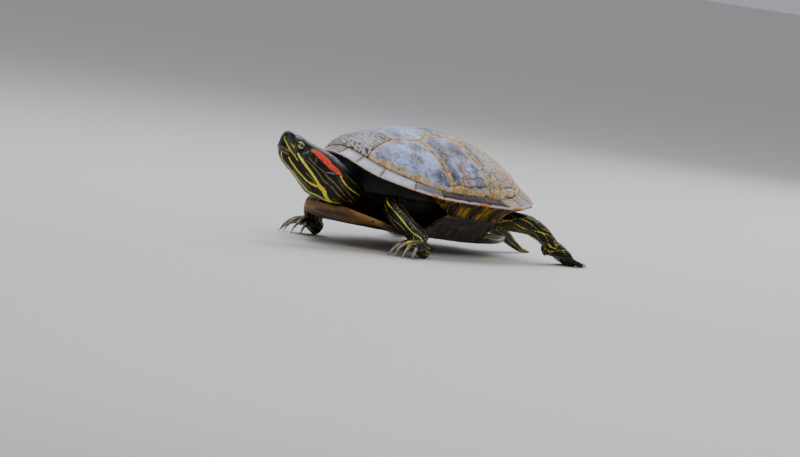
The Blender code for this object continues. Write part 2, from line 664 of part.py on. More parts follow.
def main():
    clear_scene()
    horn = material("shell_horn", "7C7F8C", 0.45)
    belly = material("plastron_horn", "B98A3E", 0.45)
    skin = material("striped_skin", "1C1E1C", 0.42)
    jaw_horn = material("jaw_horn", "4A4A3A", 0.35)
    eye = material("eye", "B9C23A", 0.05)
    make_vertebrals(horn)
    make_pleurals(horn)
    make_marginals(horn)
    make_plastron(belly)
    add_object("trunk", *world_solid(trunk_solid()), skin)
    cutter = as_helper(add_object("trunk_cutter", *world_solid(trunk_solid(swell=GAP)), skin))
    make_head(skin, jaw_horn, eye)
    floor_block = make_floor_block(skin)

    for name, stations, count, sides in (("neck", NECK_STATIONS, 9, 18), ("tail", TAIL_STATIONS, 10, 12)):
        points, faces = tube_solid(loft(scaled(stations), count, sides))
        piece = add_object(name, to_world(points), faces, skin)
        boolean(piece, cutter, "DIFFERENCE")
        boolean(piece, floor_block, "DIFFERENCE")

    make_limb(("upper_arm_left", "forearm_left"), FORE_LEFT, cutter, skin)
    make_limb(("upper_arm_right", "forearm_right"), FORE_RIGHT, cutter, skin)
    make_limb(("thigh_left", "shank_left"), HIND_LEFT, cutter, skin)
    make_limb(("thigh_right", "shank_right"), HIND_RIGHT, cutter, skin)
    make_paw("hand_left", FORE_LEFT, (-0.05, -1.0), HAND, floor_block, skin)
    make_paw("hand_right", FORE_RIGHT, (-0.15, -1.0), HAND, floor_block, skin)
    make_paw("foot_left", HIND_LEFT, (0.26, 1.0), FOOT, floor_block, skin)
    make_paw("foot_right", HIND_RIGHT, (-0.52, 1.0), FOOT, floor_block, skin)


main()
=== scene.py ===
# %% [markdown]
# # A red-eared slider, life size
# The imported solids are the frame: they fix where every part of the animal is. This lesson dresses
# them. Horn plates, plastron, eyes and claws stay separate pieces, as they are on the animal, and
# one skin covers all the flesh. Every shape is a formula over a grid of two parameters.

# %% Load the frame
import math

import bpy
import numpy as np
from mathutils import Matrix, Vector


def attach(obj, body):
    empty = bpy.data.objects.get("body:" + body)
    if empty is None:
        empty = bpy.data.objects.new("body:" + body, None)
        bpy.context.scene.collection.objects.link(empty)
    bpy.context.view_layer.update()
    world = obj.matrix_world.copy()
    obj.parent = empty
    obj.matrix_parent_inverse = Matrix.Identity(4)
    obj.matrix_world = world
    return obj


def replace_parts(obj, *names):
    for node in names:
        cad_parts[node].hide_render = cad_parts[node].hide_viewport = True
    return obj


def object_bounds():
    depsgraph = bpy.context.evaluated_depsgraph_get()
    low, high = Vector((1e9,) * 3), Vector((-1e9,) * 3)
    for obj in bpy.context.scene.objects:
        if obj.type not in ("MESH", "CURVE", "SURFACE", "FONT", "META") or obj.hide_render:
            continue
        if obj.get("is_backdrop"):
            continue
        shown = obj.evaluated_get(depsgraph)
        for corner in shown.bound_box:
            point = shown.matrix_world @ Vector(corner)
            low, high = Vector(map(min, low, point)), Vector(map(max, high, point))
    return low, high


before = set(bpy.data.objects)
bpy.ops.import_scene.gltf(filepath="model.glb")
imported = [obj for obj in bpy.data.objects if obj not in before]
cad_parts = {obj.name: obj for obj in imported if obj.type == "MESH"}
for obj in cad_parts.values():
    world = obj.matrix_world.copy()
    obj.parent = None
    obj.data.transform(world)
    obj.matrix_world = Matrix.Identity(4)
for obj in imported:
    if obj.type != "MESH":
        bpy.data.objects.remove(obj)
cad_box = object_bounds()
print("nodes", len(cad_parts), "box", cad_box)

# %% [markdown]
# ## The shell's own frame
# The shell is easiest to describe level, with its rim near height zero and lengths as shares of the
# carapace length. On the animal it is pitched nose-up and lifted on the legs, so one function turns
# shell points into world points.

# %% The shell's frame
MM = 0.001
CARAPACE = 0.200                     # straight length of the upper shell
PITCH = math.radians(3.5)
SHELL_AT = np.array([0.0053, 0.0024, 0.0430])
PITCH_TURN = np.array(Matrix.Rotation(-PITCH, 3, "X"))


def to_world(points):
    """Shell frame to world: turned nose-up by PITCH about X, then moved to SHELL_AT."""
    return np.asarray(points, float) @ PITCH_TURN.T + SHELL_AT


# %% [markdown]
# ## Meshes from grids
# A grid of points becomes quads between neighbouring rows and columns. Here every grid closes on
# itself across its columns, like a tube, and a fan of triangles closes each end. Building the index
# arrays whole keeps Python loops away from the vertices.


# %% Grids to meshes
def tube_mesh(rings):
    """Points and faces of a closed tube from rings (rings, sides, 3), each end a fan round its mean.

    Quads join rows i, i + 1 and columns j, j + 1, and the last column joins the first.
    """
    count, sides = rings.shape[:2]
    points = np.concatenate([rings.reshape(-1, 3), rings[:1].mean(1), rings[-1:].mean(1)])
    index = np.arange(count * sides).reshape(count, sides)
    index = np.concatenate([index, index[:, :1]], 1)
    quads = np.stack([index[:-1, :-1], index[1:, :-1], index[1:, 1:], index[:-1, 1:]], -1)
    near, far = index[0], index[-1]
    fans = np.concatenate([
        np.stack([near[:-1], near[1:], np.full(sides, count * sides)], -1),
        np.stack([far[1:], far[:-1], np.full(sides, count * sides + 1)], -1)])
    return points, [*quads.reshape(-1, 4).tolist(), *fans.tolist()]


def read(items, key, width=3, kind=float):
    """One property of every item of a mesh, such as each vertex's place, as rows of an array."""
    values = np.zeros(len(items) * width, kind)
    items.foreach_get(key, values)
    return values.reshape(-1, width)


def plain_mesh(name, points, faces):
    """A mesh of given points and faces."""
    mesh = bpy.data.meshes.new(name)
    mesh.from_pydata(np.asarray(points).tolist(), [], faces)
    return mesh


def turn_out(mesh):
    """Flips a closed mesh that is inside out: its triangles' summed volume to the origin is below 0."""
    mesh.calc_loop_triangles()
    triangles = read(mesh.loop_triangles, "vertices", 3, np.int32)
    if np.linalg.det(read(mesh.vertices, "co")[triangles]).sum() < 0:
        mesh.flip_normals()


points, faces = tube_mesh(np.zeros((4, 6, 3)))
print("a tube of 4 rings and 6 sides has", len(points), "points and", len(faces), "faces")


# %% Meshes to pieces
def add_object(name, data):
    """An object for a mesh, a lamp or a camera, at the origin of the scene."""
    made = bpy.data.objects.new(name, data)
    bpy.context.scene.collection.objects.link(made)
    return made


def add_piece(name, mesh, look):
    """A smooth shaded piece with one look, riding on the one body."""
    mesh.materials.clear()
    mesh.materials.append(look)
    mesh.shade_smooth()
    piece = add_object(name, mesh)
    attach(piece, "root")
    return piece


def add_tube(name, rings, look):
    """A piece from the rings of a closed tube, its faces turned outwards."""
    mesh = plain_mesh(name, *tube_mesh(rings))
    turn_out(mesh)
    return add_piece(name, mesh, look)


def set_values(piece, name, values):
    """Stores one number for each vertex, which a material reads by name."""
    layer = piece.data.attributes.new(name, "FLOAT", "POINT")
    layer.data.foreach_set("value", np.asarray(values, np.float32).ravel())


# %% [markdown]
# ## Noise in numpy
# Horn is never quite even. Blender's noise lives in its shaders, and a shape needs its own: a sum of
# sine waves in fixed odd directions is smooth, repeats nowhere near the animal's size and gives the
# same result each run.

# %% Smooth noise
WAVES = 7


def ripples(points, size, seed=0.0):
    """About -1 to 1: the mean of sines of the points along turned directions, size across."""
    k = np.arange(WAVES) + 1.0
    turn, tilt = k * 2.399 + seed, np.cos(k * 1.7 + seed * 3.1)
    flat = np.sqrt(1 - tilt ** 2)
    ways = np.stack([np.cos(turn) * flat, np.sin(turn) * flat, tilt], 0)
    ways = ways * (0.7 + 0.6 * (k * 0.618 % 1))
    return np.sin(points @ ways * (2 * np.pi / size) + k * 5.1 + seed * 7.0).mean(-1) * 2.2


def smoothstep(t):
    """0 below 0, 1 above 1, and three t squared less two t cubed between them."""
    t = np.clip(t, 0, 1)
    return t * t * (3 - 2 * t)


def bell(distance, width):
    """1 at distance 0, falling as e to the minus (distance / width) squared."""
    return np.exp(-(distance / width) ** 2)


print("ripples at three places", np.round(ripples(np.eye(3), 2.0), 2))

# %% [markdown]
# ## Colours and nodes
# Colours are written as people pick them, in sRGB hex, and one function turns them to linear light.
# One more function adds a shader node with its settings and links. Most finishes here are layers of
# dirt, stain or paint, each lying where some value has passed a limit, so one function lays a layer.

# %% Material helpers
EASED = {"interpolation_type": "SMOOTHSTEP"}


def linear(hex_colour):
    """sRGB hex to linear RGBA: c / 12.92 when dark, else (c + 0.055) / 1.055 to the power 2.4."""
    channels = [int(hex_colour[i:i + 2], 16) / 255 for i in (0, 2, 4)]
    return (*[c / 12.92 if c <= 0.04045 else ((c + 0.055) / 1.055) ** 2.4 for c in channels], 1.0)


def give(look, node, inputs):
    """Gives a node's sockets, by name or number, a value, a hex colour or another node's output."""
    for socket, value in inputs.items():
        if isinstance(value, bpy.types.NodeSocket):
            look.node_tree.links.new(value, node.inputs[socket])
        else:
            node.inputs[socket].default_value = linear(value) if isinstance(value, str) else value


def add_node(look, kind, inputs=None, pick=0, **settings):
    """Adds a shader node; settings are its properties; the output named or numbered pick comes back."""
    made = look.node_tree.nodes.new("ShaderNode" + kind)
    for key, value in settings.items():
        setattr(made, key, value)
    give(look, made, inputs or {})
    return made.outputs[pick]


def paint(look, under, over, value, low, high, strength=1.0):
    """The colour over laid on the colour under, more and more as value goes from low to high.

    The step is eased, and low may lie above high. Strength, a number or an output, thins the layer.
    """
    share = add_node(look, "MapRange", {0: value, 1: low, 2: high}, **EASED)
    if strength != 1.0:
        share = add_node(look, "Math", {0: share, 1: strength}, operation="MULTIPLY")
    return add_node(look, "Mix", {0: share, 6: under, 7: over}, 2, data_type="RGBA")


def new_look(name, **values):
    """A material and its Principled shader, with plain values on the shader's own sockets."""
    look = bpy.data.materials.new(name)
    look.use_nodes = True
    shader = look.node_tree.nodes["Principled BSDF"]
    give(look, shader, {socket.replace("_", " "): value for socket, value in values.items()})
    return look, shader


print("mid grey 808080 is", round(linear("808080")[0], 3), "in linear light")

# %% [markdown]
# ## The dome
# The upper shell is one smooth form before it is plates. Seen from above its outline is an oval that
# is widest behind the middle. Heights fall from the apex to a flared border that turns up over the
# neck and the tail. These are the same formulas as the frame's, so every plate lies where it should.

# %% The rim
HALF_WIDTH = 0.745 * CARAPACE / 2
DOME_HEIGHT = 0.243 * CARAPACE
APEX = 0.50                          # share of the length at which the dome is highest
APEX_Y = (APEX - 0.5) * CARAPACE
PLATE = 0.0026
# Inner border and rise of the flare as shares, and the powers of the dome's curve.
FRONT_SIDE_REAR = {"border": (0.900, 0.875, 0.860), "rise": (0.200, 0.090, 0.330),
                   "bulge": (1.70, 2.15, 2.2), "fall": (0.62, 0.80, 0.95)}


def rim_half_width(u):
    """Half width at share u of the length: a flattened oval in a stretched share k = u to the 1.27."""
    k = np.clip(u, 0, 1) ** 1.27
    return HALF_WIDTH * (4 * k * (1 - k)) ** 0.41


def rim_height(u):
    """The rim's height: zero at the sides, squared rises towards both ends."""
    front, brow = np.clip(1 - u / 0.38, 0, 1) ** 2, np.clip(1 - u / 0.10, 0, 1) ** 2
    rear = np.clip((u - 0.6) / 0.4, 0, 1) ** 2
    return CARAPACE * (0.075 * front + 0.032 * brow + 0.050 * rear)


rim_u = (1 - np.cos(np.linspace(0, np.pi, 721))) / 2
rim_x, rim_y = rim_half_width(rim_u), (rim_u - APEX) * CARAPACE
RIM_ANGLE, RIM_RADIUS, RIM_Z = np.arctan2(rim_x, -rim_y), np.hypot(rim_x, rim_y), rim_height(rim_u)
print("half width", rim_x.max().round(4), "rim rises by", RIM_Z.max().round(4))


# %% The dome
def mixed(name, angle):
    """A value given for front, side and rear, blended by an even power of the direction's cosine.

    The rise of the border keeps closer to neck and tail, so its power is higher.
    """
    power = 4 if name == "rise" else 2
    front, rear = np.clip(np.cos(angle), 0, 1) ** power, np.clip(-np.cos(angle), 0, 1) ** power
    values = FRONT_SIDE_REAR[name]
    return values[0] * front + values[1] * (1 - front - rear) + values[2] * rear


def dome(x, y):
    """Height over a plan point: a raised power curve inside the border, a straight flare outside."""
    angle = np.arctan2(np.abs(x), -(y - APEX_Y))
    share = np.clip(np.hypot(x, y - APEX_Y) / np.interp(angle, RIM_ANGLE, RIM_RADIUS), 0, 1)
    border, rise = mixed("border", angle), mixed("rise", angle)
    inner = np.clip(share / border, 0, 1)
    flare = rise * np.minimum((1 - share) / (1 - border), 1)
    crown = (1 - rise) * (1 - inner ** mixed("bulge", angle)) ** mixed("fall", angle)
    return np.interp(angle, RIM_ANGLE, RIM_Z) * share ** 3 + DOME_HEIGHT * (flare + crown)


def on_dome(plan):
    """Plan points (..., 2) lifted to the dome, and the upward normals there from slopes over 1 mm."""
    x, y, step = plan[..., 0], plan[..., 1], 0.5 * MM
    slope_x = (dome(x + step, y) - dome(x - step, y)) / (2 * step)
    slope_y = (dome(x, y + step) - dome(x, y - step)) / (2 * step)
    normal = np.stack([-slope_x, -slope_y, np.ones_like(slope_x)], -1)
    return (np.stack([x, y, dome(x, y)], -1),
            normal / np.linalg.norm(normal, axis=-1, keepdims=True))


def polar(angle, share):
    """Plan point at an angle from the nose, left positive, and a share of the rim's radius."""
    radius = np.interp(np.abs(angle), RIM_ANGLE, RIM_RADIUS) * share
    return np.stack([radius * np.sin(angle), APEX_Y - radius * np.cos(angle)], -1)


def angle_at(u):
    """The rim's angle about the apex at share u of the length."""
    return np.interp(u, rim_u, RIM_ANGLE)


def inner_border(turn):
    """The seam between the marginals and the plates inside them."""
    return polar(turn, mixed("border", turn) - 0.0012)


print("apex", np.round(to_world([0, APEX_Y, DOME_HEIGHT]), 4))

# %% [markdown]
# ## Horn plates of the carapace
# A horn plate grows outward from its oldest patch, the areola, and each year's edge stays as a ring.
# So the grid is a star: rho runs from the areola out to the plate's edge, and the edge is walked
# once round. Rings are then simply functions of rho, and they bunch where the plate is short, as on
# the real shell. The edge rolls down into the seam, and the plate's back closes it into a thin tile.

# %% Outlines of the big plates
GAP = 0.0003
SEAMS = (0.230, 0.420, 0.605, 0.778)                 # where vertebrals meet, shares of the length
SEAM_HALF = (0.088, 0.086, 0.084, 0.072)             # and their half widths there
CORNERS = (0.342, 0.520, 0.692)                      # where pleurals meet vertebrals
CORNER_HALF = (0.126, 0.126, 0.118)
FOOT = [angle_at(u) for u in (0.040, 0.368, 0.592, 0.805, 0.948)]    # where pleurals meet the border
TAIL_DRAW = 0.994                                    # draws the last seam in over the tail
ARC_STEPS = 24
MIRROR = np.array([-1.0, 1.0])

knots = sorted([*zip(SEAMS, SEAM_HALF), *zip(CORNERS, CORNER_HALF)])
chain = np.array([inner_border(FOOT[0]),
                  *[(half * CARAPACE, (u - 0.5) * CARAPACE) for u, half in knots],
                  inner_border(FOOT[-1]) * TAIL_DRAW])


def arc(first, last):
    """A stretch of the marginals' border between two angles about the apex."""
    return inner_border(np.linspace(first, last, ARC_STEPS))


def vertebral_outline(number):
    """Left side forwards to back, then the mirrored right side back to front; ends may be arcs."""
    picks = ((0, 1), (1, 2, 3), (3, 4, 5), (5, 6, 7), (7, 8))[number]
    left = chain[list(picks)]
    if number == 0:
        return np.concatenate([arc(-FOOT[0], FOOT[0]), left[1:], (left * MIRROR)[:0:-1]])
    if number == 4:
        turn = np.linspace(FOOT[-1], 2 * np.pi - FOOT[-1], ARC_STEPS)
        behind = inner_border(np.where(turn > np.pi, turn - 2 * np.pi, turn)) * TAIL_DRAW
        return np.concatenate([left[:1], behind, (left * MIRROR)[:1]])
    return np.concatenate([left, (left * MIRROR)[::-1]])


def pleural_outline(number):
    """Three corners along the vertebrals, then the arc of the border from back to front."""
    return np.concatenate([chain[2 * number:2 * number + 3], arc(FOOT[number + 1], FOOT[number])])


def walk(outline, count):
    """Even steps by length round a closed outline, corners eased by averaging with neighbours."""
    closed = np.concatenate([outline, outline[:1]])
    length = np.concatenate([[0], np.cumsum(np.linalg.norm(np.diff(closed, axis=0), axis=1))])
    steps = np.linspace(0, length[-1], count, endpoint=False)
    path = np.stack([np.interp(steps, length, closed[:, k]) for k in (0, 1)], -1)
    return 0.5 * path + 0.25 * (np.roll(path, 1, 0) + np.roll(path, -1, 0))


print("left chain of corners", len(chain), "arcs meet the border at", np.round(np.degrees(FOOT), 1))

# %% A plate as a star-shaped tile
AROUND, OUTWARD = 184, 62            # steps round the edge and from the areola outwards
SEAM_ROLL = 0.34                     # mm that the edge drops into the seam
PLATE_SWELL = 0.42                   # mm that the plate's middle stands above the plain dome


def flat_mm(plan):
    """Plan points in metres as points in mm at height 0, for the ripples."""
    return np.concatenate([plan / MM, np.zeros_like(plan[..., :1])], -1)


def scute(name, outline, areola, rough, rings, look):
    """P = A + rho (B - A) in plan, lifted to the dome and moved along its normal by the relief.

    Relief in mm: swell, less the roll at the edge, less ring grooves, plus ripples for rough horn.
    """
    edge = walk(outline, AROUND)
    middle = edge.mean(0)
    edge = edge + (middle - edge) * (0.6 * GAP / np.linalg.norm(middle - edge, axis=1))[:, None]
    angle = np.arctan2(np.abs(edge[:, 0]), -(edge[:, 1] - APEX_Y))
    share = np.hypot(edge[:, 0], edge[:, 1] - APEX_Y) / np.interp(angle, RIM_ANGLE, RIM_RADIUS)
    foot = smoothstep((share - mixed("border", angle) + 0.030) / 0.020)    # 1 beside the marginals
    rho = np.linspace(0, 1, OUTWARD + 1)[1:] ** 0.9
    plan = areola + rho[:, None, None] * (edge - areola)
    back = areola + np.array([1.0, 0.55])[:, None, None] * (edge - areola)
    span = np.linalg.norm(edge - areola, axis=1) / MM
    to_edge = (1 - rho[:, None]) * span
    flat = flat_mm(plan)
    wobble = ripples(flat, 31.0, areola[1] * 90) * 0.05 + ripples(flat, 9.0, areola[0] * 80) * 0.02
    groove = (1 - np.abs(np.sin(np.pi * (rho[:, None] + wobble) * rings))) ** (4.5 - 2.3 * foot)
    outer = smoothstep((rho[:, None] - 0.35) / 0.5)
    behind = 0.3 + 0.7 * smoothstep((plan[..., 1] / CARAPACE + 0.24) / 0.10)
    strength = 0.05 + (0.22 + 0.30 * foot) * outer * (0.6 + 0.4 * ripples(flat, 38.0, 2.0)) * behind
    crinkle = ripples(flat * (1, 2.0, 1), 4.2, 1.0) + 0.8 * ripples(flat * (1, 2.4, 1), 2.3, 4.0)
    relief = PLATE_SWELL * smoothstep(to_edge / 9.0)
    relief -= SEAM_ROLL * (1 - foot) * (1 - smoothstep(to_edge / 1.3)) ** 2
    relief += rough * crinkle * smoothstep(to_edge / 2.0) - groove * strength
    relief += 0.10 * ripples(flat, 17.0, 6.0)
    top, up = on_dome(plan)
    under, under_up = on_dome(back)
    rows = np.concatenate([top + relief[..., None] * MM * up, under - 0.9 * PLATE * under_up])
    piece = add_tube(name, to_world(rows), look)
    for key, values, centre in (("edge", to_edge, span.mean()), ("groove", groove * strength * 3, 0.0),
                                ("rough", crinkle, 0.0)):
        whole = np.concatenate([values, np.zeros((2, AROUND))]).ravel()
        set_values(piece, key, [*whole, centre, 0.0])
    return piece


print("each plate is a star of", OUTWARD, "by", AROUND, "steps")

# %% [markdown]
# ## Weathered horn
# Scute keratin is a thin translucent horn over bone. On this animal it is wet, slate horn painted
# blue-grey and lavender with a painted reflection of the sky, with tan silt and old algae caught in the
# seams. The material layers these: a slate ground under the painted sky reflection, dark flecks, tan
# that follows the seams and thickens towards the tail, and painted shade in the grooves of the growth
# rings. Damp horn is smooth, with a soft broken sheen.


# %% Horn's relief
def horn_bump(look, place, strength):
    """Normals from the sum of a 1.2 mm grain and 4 mm pits, 0.4 mm high."""
    grain, pits = (add_node(look, "TexNoise", {"Vector": place, "Scale": 1 / (size * MM),
                                               "Detail": detail, "Roughness": rough})
                   for size, detail, rough in ((1.2, 6, 0.7), (4.0, 3, 0.6)))
    height = add_node(look, "Math", {0: grain, 1: pits}, operation="ADD")
    return add_node(look, "Bump", {"Strength": strength, "Distance": 0.4 * MM, "Height": height})


print("horn's grain is 1.2 mm, coarser than the real one so that it shows")


# %% Horn of the big plates
def weathered_horn(name, sky, silt, creased):
    """Scute keratin: sky is how much of the ground is painted as a pale sky reflection, silt how much
    tan, creased how brown and wrinkled.
    """
    look, shader = new_look(name, IOR=1.54, Specular_IOR_Level=0.35, Coat_Weight=0.12,
                            Coat_Roughness=0.22)
    place = add_node(look, "TexCoord", pick="Object")
    # Blob size in mm, detail, roughness, distortion.
    cloud, mottle, fleck, speck, dirt = (
        add_node(look, "TexNoise", {"Vector": place, "Scale": 1 / (size * MM), "Detail": detail,
                                    "Roughness": rough, "Distortion": bent})
        for size, detail, rough, bent in ((24, 4, 0.55, 0), (8.5, 5, 0.65, 0.5), (3.4, 5, 0.72, 0.4),
                                          (2.1, 4, 0.75, 0), (4.8, 5, 0.76, 0.8)))
    edge, groove = (add_node(look, "Attribute", pick="Fac", attribute_name=key)
                    for key in ("edge", "groove"))
    # Painted reflection: the slate ground is painted lavender and pale blue-grey as the sky's
    # reflection, the more so as sky grows.
    horn = paint(look, "454E6B", "B4C4EF", cloud, 0.34 - sky, 0.66 - sky)
    horn = paint(look, horn, "3A3D48", mottle, 0.50, 0.66, 0.72)
    horn = paint(look, horn, "2F3038", fleck, 0.55, 0.66, 0.8)
    # Silt is dust where two noises are high, sooner within 5.5 mm of a seam, and a line in the seam.
    dust = add_node(look, "Mix", {0: 0.5, 2: speck, 3: mottle})
    near = add_node(look, "MapRange", {0: edge, 1: 5.5, 2: 0.5, 4: 0.15}, **EASED)
    dust = add_node(look, "Math", {0: dust, 1: near}, operation="ADD")
    spread = add_node(look, "MapRange", {0: dust, 1: 0.545 - silt, 2: 0.600 - silt, 4: 0.88}, **EASED)
    line = add_node(look, "MapRange", {0: edge, 1: 1.1, 2: 0.2, 4: 0.6}, **EASED)
    cover = add_node(look, "Math", {0: line, 1: spread}, operation="MAXIMUM")
    tan = paint(look, "93733D", "DBC187", fleck, 0.38, 0.62)
    tan = paint(look, tan, "B8873F", cloud, 0.50, 0.62)
    colour = add_node(look, "Mix", {0: cover, 6: horn, 7: tan}, 2, data_type="RGBA")
    colour = paint(look, colour, "3A3229", dirt, 0.53, 0.62, 0.45 + 6 * max(silt, 0))
    # Painted shade: darker in the grooves of the growth rings.
    colour = paint(look, colour, "2B2724", groove, 0.22, 0.85)
    if creased:
        brown = paint(look, "85807B", "B3AFAA", cloud, 0.35, 0.6)
        colour = add_node(look, "Mix", {0: creased, 6: colour, 7: brown}, 2, data_type="RGBA")
        drawn_out = add_node(look, "VectorMath", {0: place, 1: (1.0, 2.6, 1.6)}, operation="MULTIPLY")
        streak = add_node(look, "TexNoise", {"Vector": drawn_out, "Scale": 1 / (5.2 * MM), "Detail": 4,
                                             "Roughness": 0.7, "Distortion": 1.4})
        rough = add_node(look, "Attribute", pick="Fac", attribute_name="rough")
        # Dark where the crinkle dips, painted shade in its hollows, and along drawn-out streaks, the
        # horn's own brown veins.
        fold, vein = (add_node(look, "MapRange", {0: value, 1: low, 2: high}, **EASED)
                      for value, low, high in ((rough, -0.35, -1.2), (streak, 0.535, 0.63)))
        crease = add_node(look, "Math", {0: fold, 1: vein}, operation="MAXIMUM")
        colour = add_node(look, "Mix", {0: crease, 6: colour, 7: "3B342E"}, 2, data_type="RGBA")
    shine = add_node(look, "MapRange", {0: mottle, 1: 0.3, 2: 0.7, 3: 0.30, 4: 0.62})
    give(look, shader, {"Base Color": colour, "Roughness": shine,
                        "Normal": horn_bump(look, place, 0.9 if creased else 0.6)})
    return look


horn_sky = weathered_horn("scute_keratin_painted_sky_sheen", 0.08, -0.022, 0.0)
horn_plain = weathered_horn("mottled_scute_keratin", 0.00, 0.022, 0.0)
horn_silty = weathered_horn("silted_scute_keratin", -0.07, 0.075, 0.0)
horn_creased = weathered_horn("creased_scute_keratin", 0.02, 0.0, 0.85)
print("horn materials", [look.name for look in (horn_sky, horn_plain, horn_silty, horn_creased)])

# %% Make the thirteen big plates
# Areola as a share of the length, roughness in mm, and horn of each vertebral.
VERTEBRALS = ((0.150, 0.34, horn_creased), (0.365, 0.08, horn_sky), (0.550, 0.08, horn_plain),
              (0.730, 0.12, horn_silty), (0.860, 0.20, horn_silty))
# Roughness in mm, growth rings, and horn of each pleural.
PLEURALS = ((0.05, 8, horn_sky), (0.06, 8, horn_plain), (0.10, 7, horn_silty), (0.16, 6, horn_silty))
VERTEBRAL_RINGS = 7

for number, (u, rough, look) in enumerate(VERTEBRALS):
    plate = scute(f"scute_vertebral_{number + 1}", vertebral_outline(number),
                  np.array([0.0, (u - 0.5) * CARAPACE]), rough, VERTEBRAL_RINGS, look)
    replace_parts(plate, f"vertebral_{number + 1}")
for number, (rough, rings, look) in enumerate(PLEURALS):
    outline = pleural_outline(number)
    top, foot = outline[:3].mean(0), outline[3:].mean(0)
    centre = top + (foot - top) * 0.34 + np.array([0, 0.004])
    for side, word in ((1, "left"), (-1, "right")):
        turn = np.array([side, 1.0])
        plate = scute(f"scute_pleural_{word}_{number + 1}", (outline * turn)[::side], centre * turn,
                      rough, rings, look)
        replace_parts(plate, f"pleural_{word}_{number + 1}")
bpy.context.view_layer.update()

# %% [markdown]
# ## Marginal plates
# Twelve plates on each side and a small nuchal plate in front edge the shell. A profile is carried
# round the rim: out over the top, round the edge, and back underneath, where the plates of the
# bridge run deep down to the plastron. A shallow gutter lies inside the thickened edge.

# %% One profile carried along the rim
MARGINAL_SEAMS = (0.0, 0.030, 0.090, 0.200, 0.310, 0.420, 0.528, 0.652, 0.760, 0.850, 0.920, 0.972, 1.0)
SERRATION = 0.022                    # share of the radius that the rear plates' corners stand out
ALONG, OVER, UNDER = 46, 30, 26      # steps along a plate, over its top and under it
THIN = 0.0016                        # thickness at the edge
TUCK = 0.006                         # share of the radius that runs in under the plates above
RADIUS_MM = 75                       # the rim's radius at the side, which turns shares into mm


def under_depth(angle, share):
    """How far the underside lies below the top: thin at the flared ends, deep along the bridge."""
    u = np.interp(np.abs(angle), RIM_ANGLE, rim_u)
    bridge = np.clip((u - 0.27) / 0.10, 0, 1) * np.clip((0.76 - u) / 0.10, 0, 1)
    inward = (1 - share) / (1 - mixed("border", angle))
    plan = polar(angle, share)
    deep = THIN + (dome(plan[..., 0], plan[..., 1]) + 0.046 * CARAPACE) * np.minimum(inward, 1)
    return (THIN + 0.0040 * inward) * (1 - bridge) + deep * bridge


def marginal(name, first, last, side, look, notch):
    """Closed profile at each angle: top, rounded edge, underside; ends are fans in the seams.

    Lift in mm: less in the end seams, more at the inner seam and at the thick edge, ringed between.
    """
    blend = np.linspace(0, 1, ALONG)
    length = abs(last - first) * 0.4 * CARAPACE
    inset = 0.5 * GAP / length
    angle = side * (first + (last - first) * (inset + (1 - 2 * inset) * blend))
    across = np.concatenate([np.linspace(0, 1, OVER), np.linspace(1, 0, UNDER)])
    is_top = np.concatenate([np.ones(OVER), np.zeros(UNDER)])
    turn, reach = np.meshgrid(angle, across, indexing="ij")
    border = mixed("border", turn)
    inner = border - TUCK
    outer = 1 - 0.0015 - SERRATION * notch * (1 - blend[:, None]) ** 0.8
    share = inner + (outer - inner) * reach
    plan, outside = polar(turn, share), polar(turn, np.maximum(share, border))
    height = dome(outside[..., 0], outside[..., 1])
    to_end = np.minimum(blend, 1 - blend)[:, None] * length / MM
    to_inner = np.maximum(share - border, 0) * RADIUS_MM
    to_rim = (1 - reach) * (outer - inner) * RADIUS_MM
    seam = np.minimum(to_end, to_inner * 1.2)
    flat = flat_mm(plan)
    phase = np.maximum(to_rim, 0) / 2.1 + 0.10 * ripples(flat, 12.0, 2.0)
    rings = (1 - np.abs(np.sin(np.pi * phase))) ** 4
    lift = 0.30 * smoothstep(seam / 4.0) - 0.50 * (1 - smoothstep(to_end / 1.1)) ** 2
    lift += 0.75 * bell(to_inner, 0.9) + 0.45 * bell(to_rim - 1.6, 1.3)
    lift += 0.10 * ripples(flat, 7.0, 3.0) - 0.16 * rings * smoothstep(to_rim / 3.0)
    drop = 0.55 * np.exp(-to_rim / 0.5)
    depth = under_depth(turn, share) - 0.35 * MM * (1 - smoothstep(to_end))
    z = np.where(is_top > 0, height + (lift - drop) * MM, height - depth + drop * MM)
    rows = to_world(np.concatenate([plan, z[..., None]], -1))
    piece = add_tube(name, rows, look)
    middle = (blend[:, None] - 0.52) * length / MM
    drawn = np.hypot(middle, (to_rim - 5.0) * 0.8)
    for key, values in (("edge", np.where(is_top > 0, seam, 9.0)), ("rim", to_rim),
                        ("under", 1 - is_top), ("groove", rings * is_top), ("ring", drawn),
                        ("end", to_end)):
        set_values(piece, key, [*np.broadcast_to(values, turn.shape).ravel(), 0.0, 0.0])
    return piece


print("a marginal is", ALONG, "profiles of", OVER + UNDER, "points")
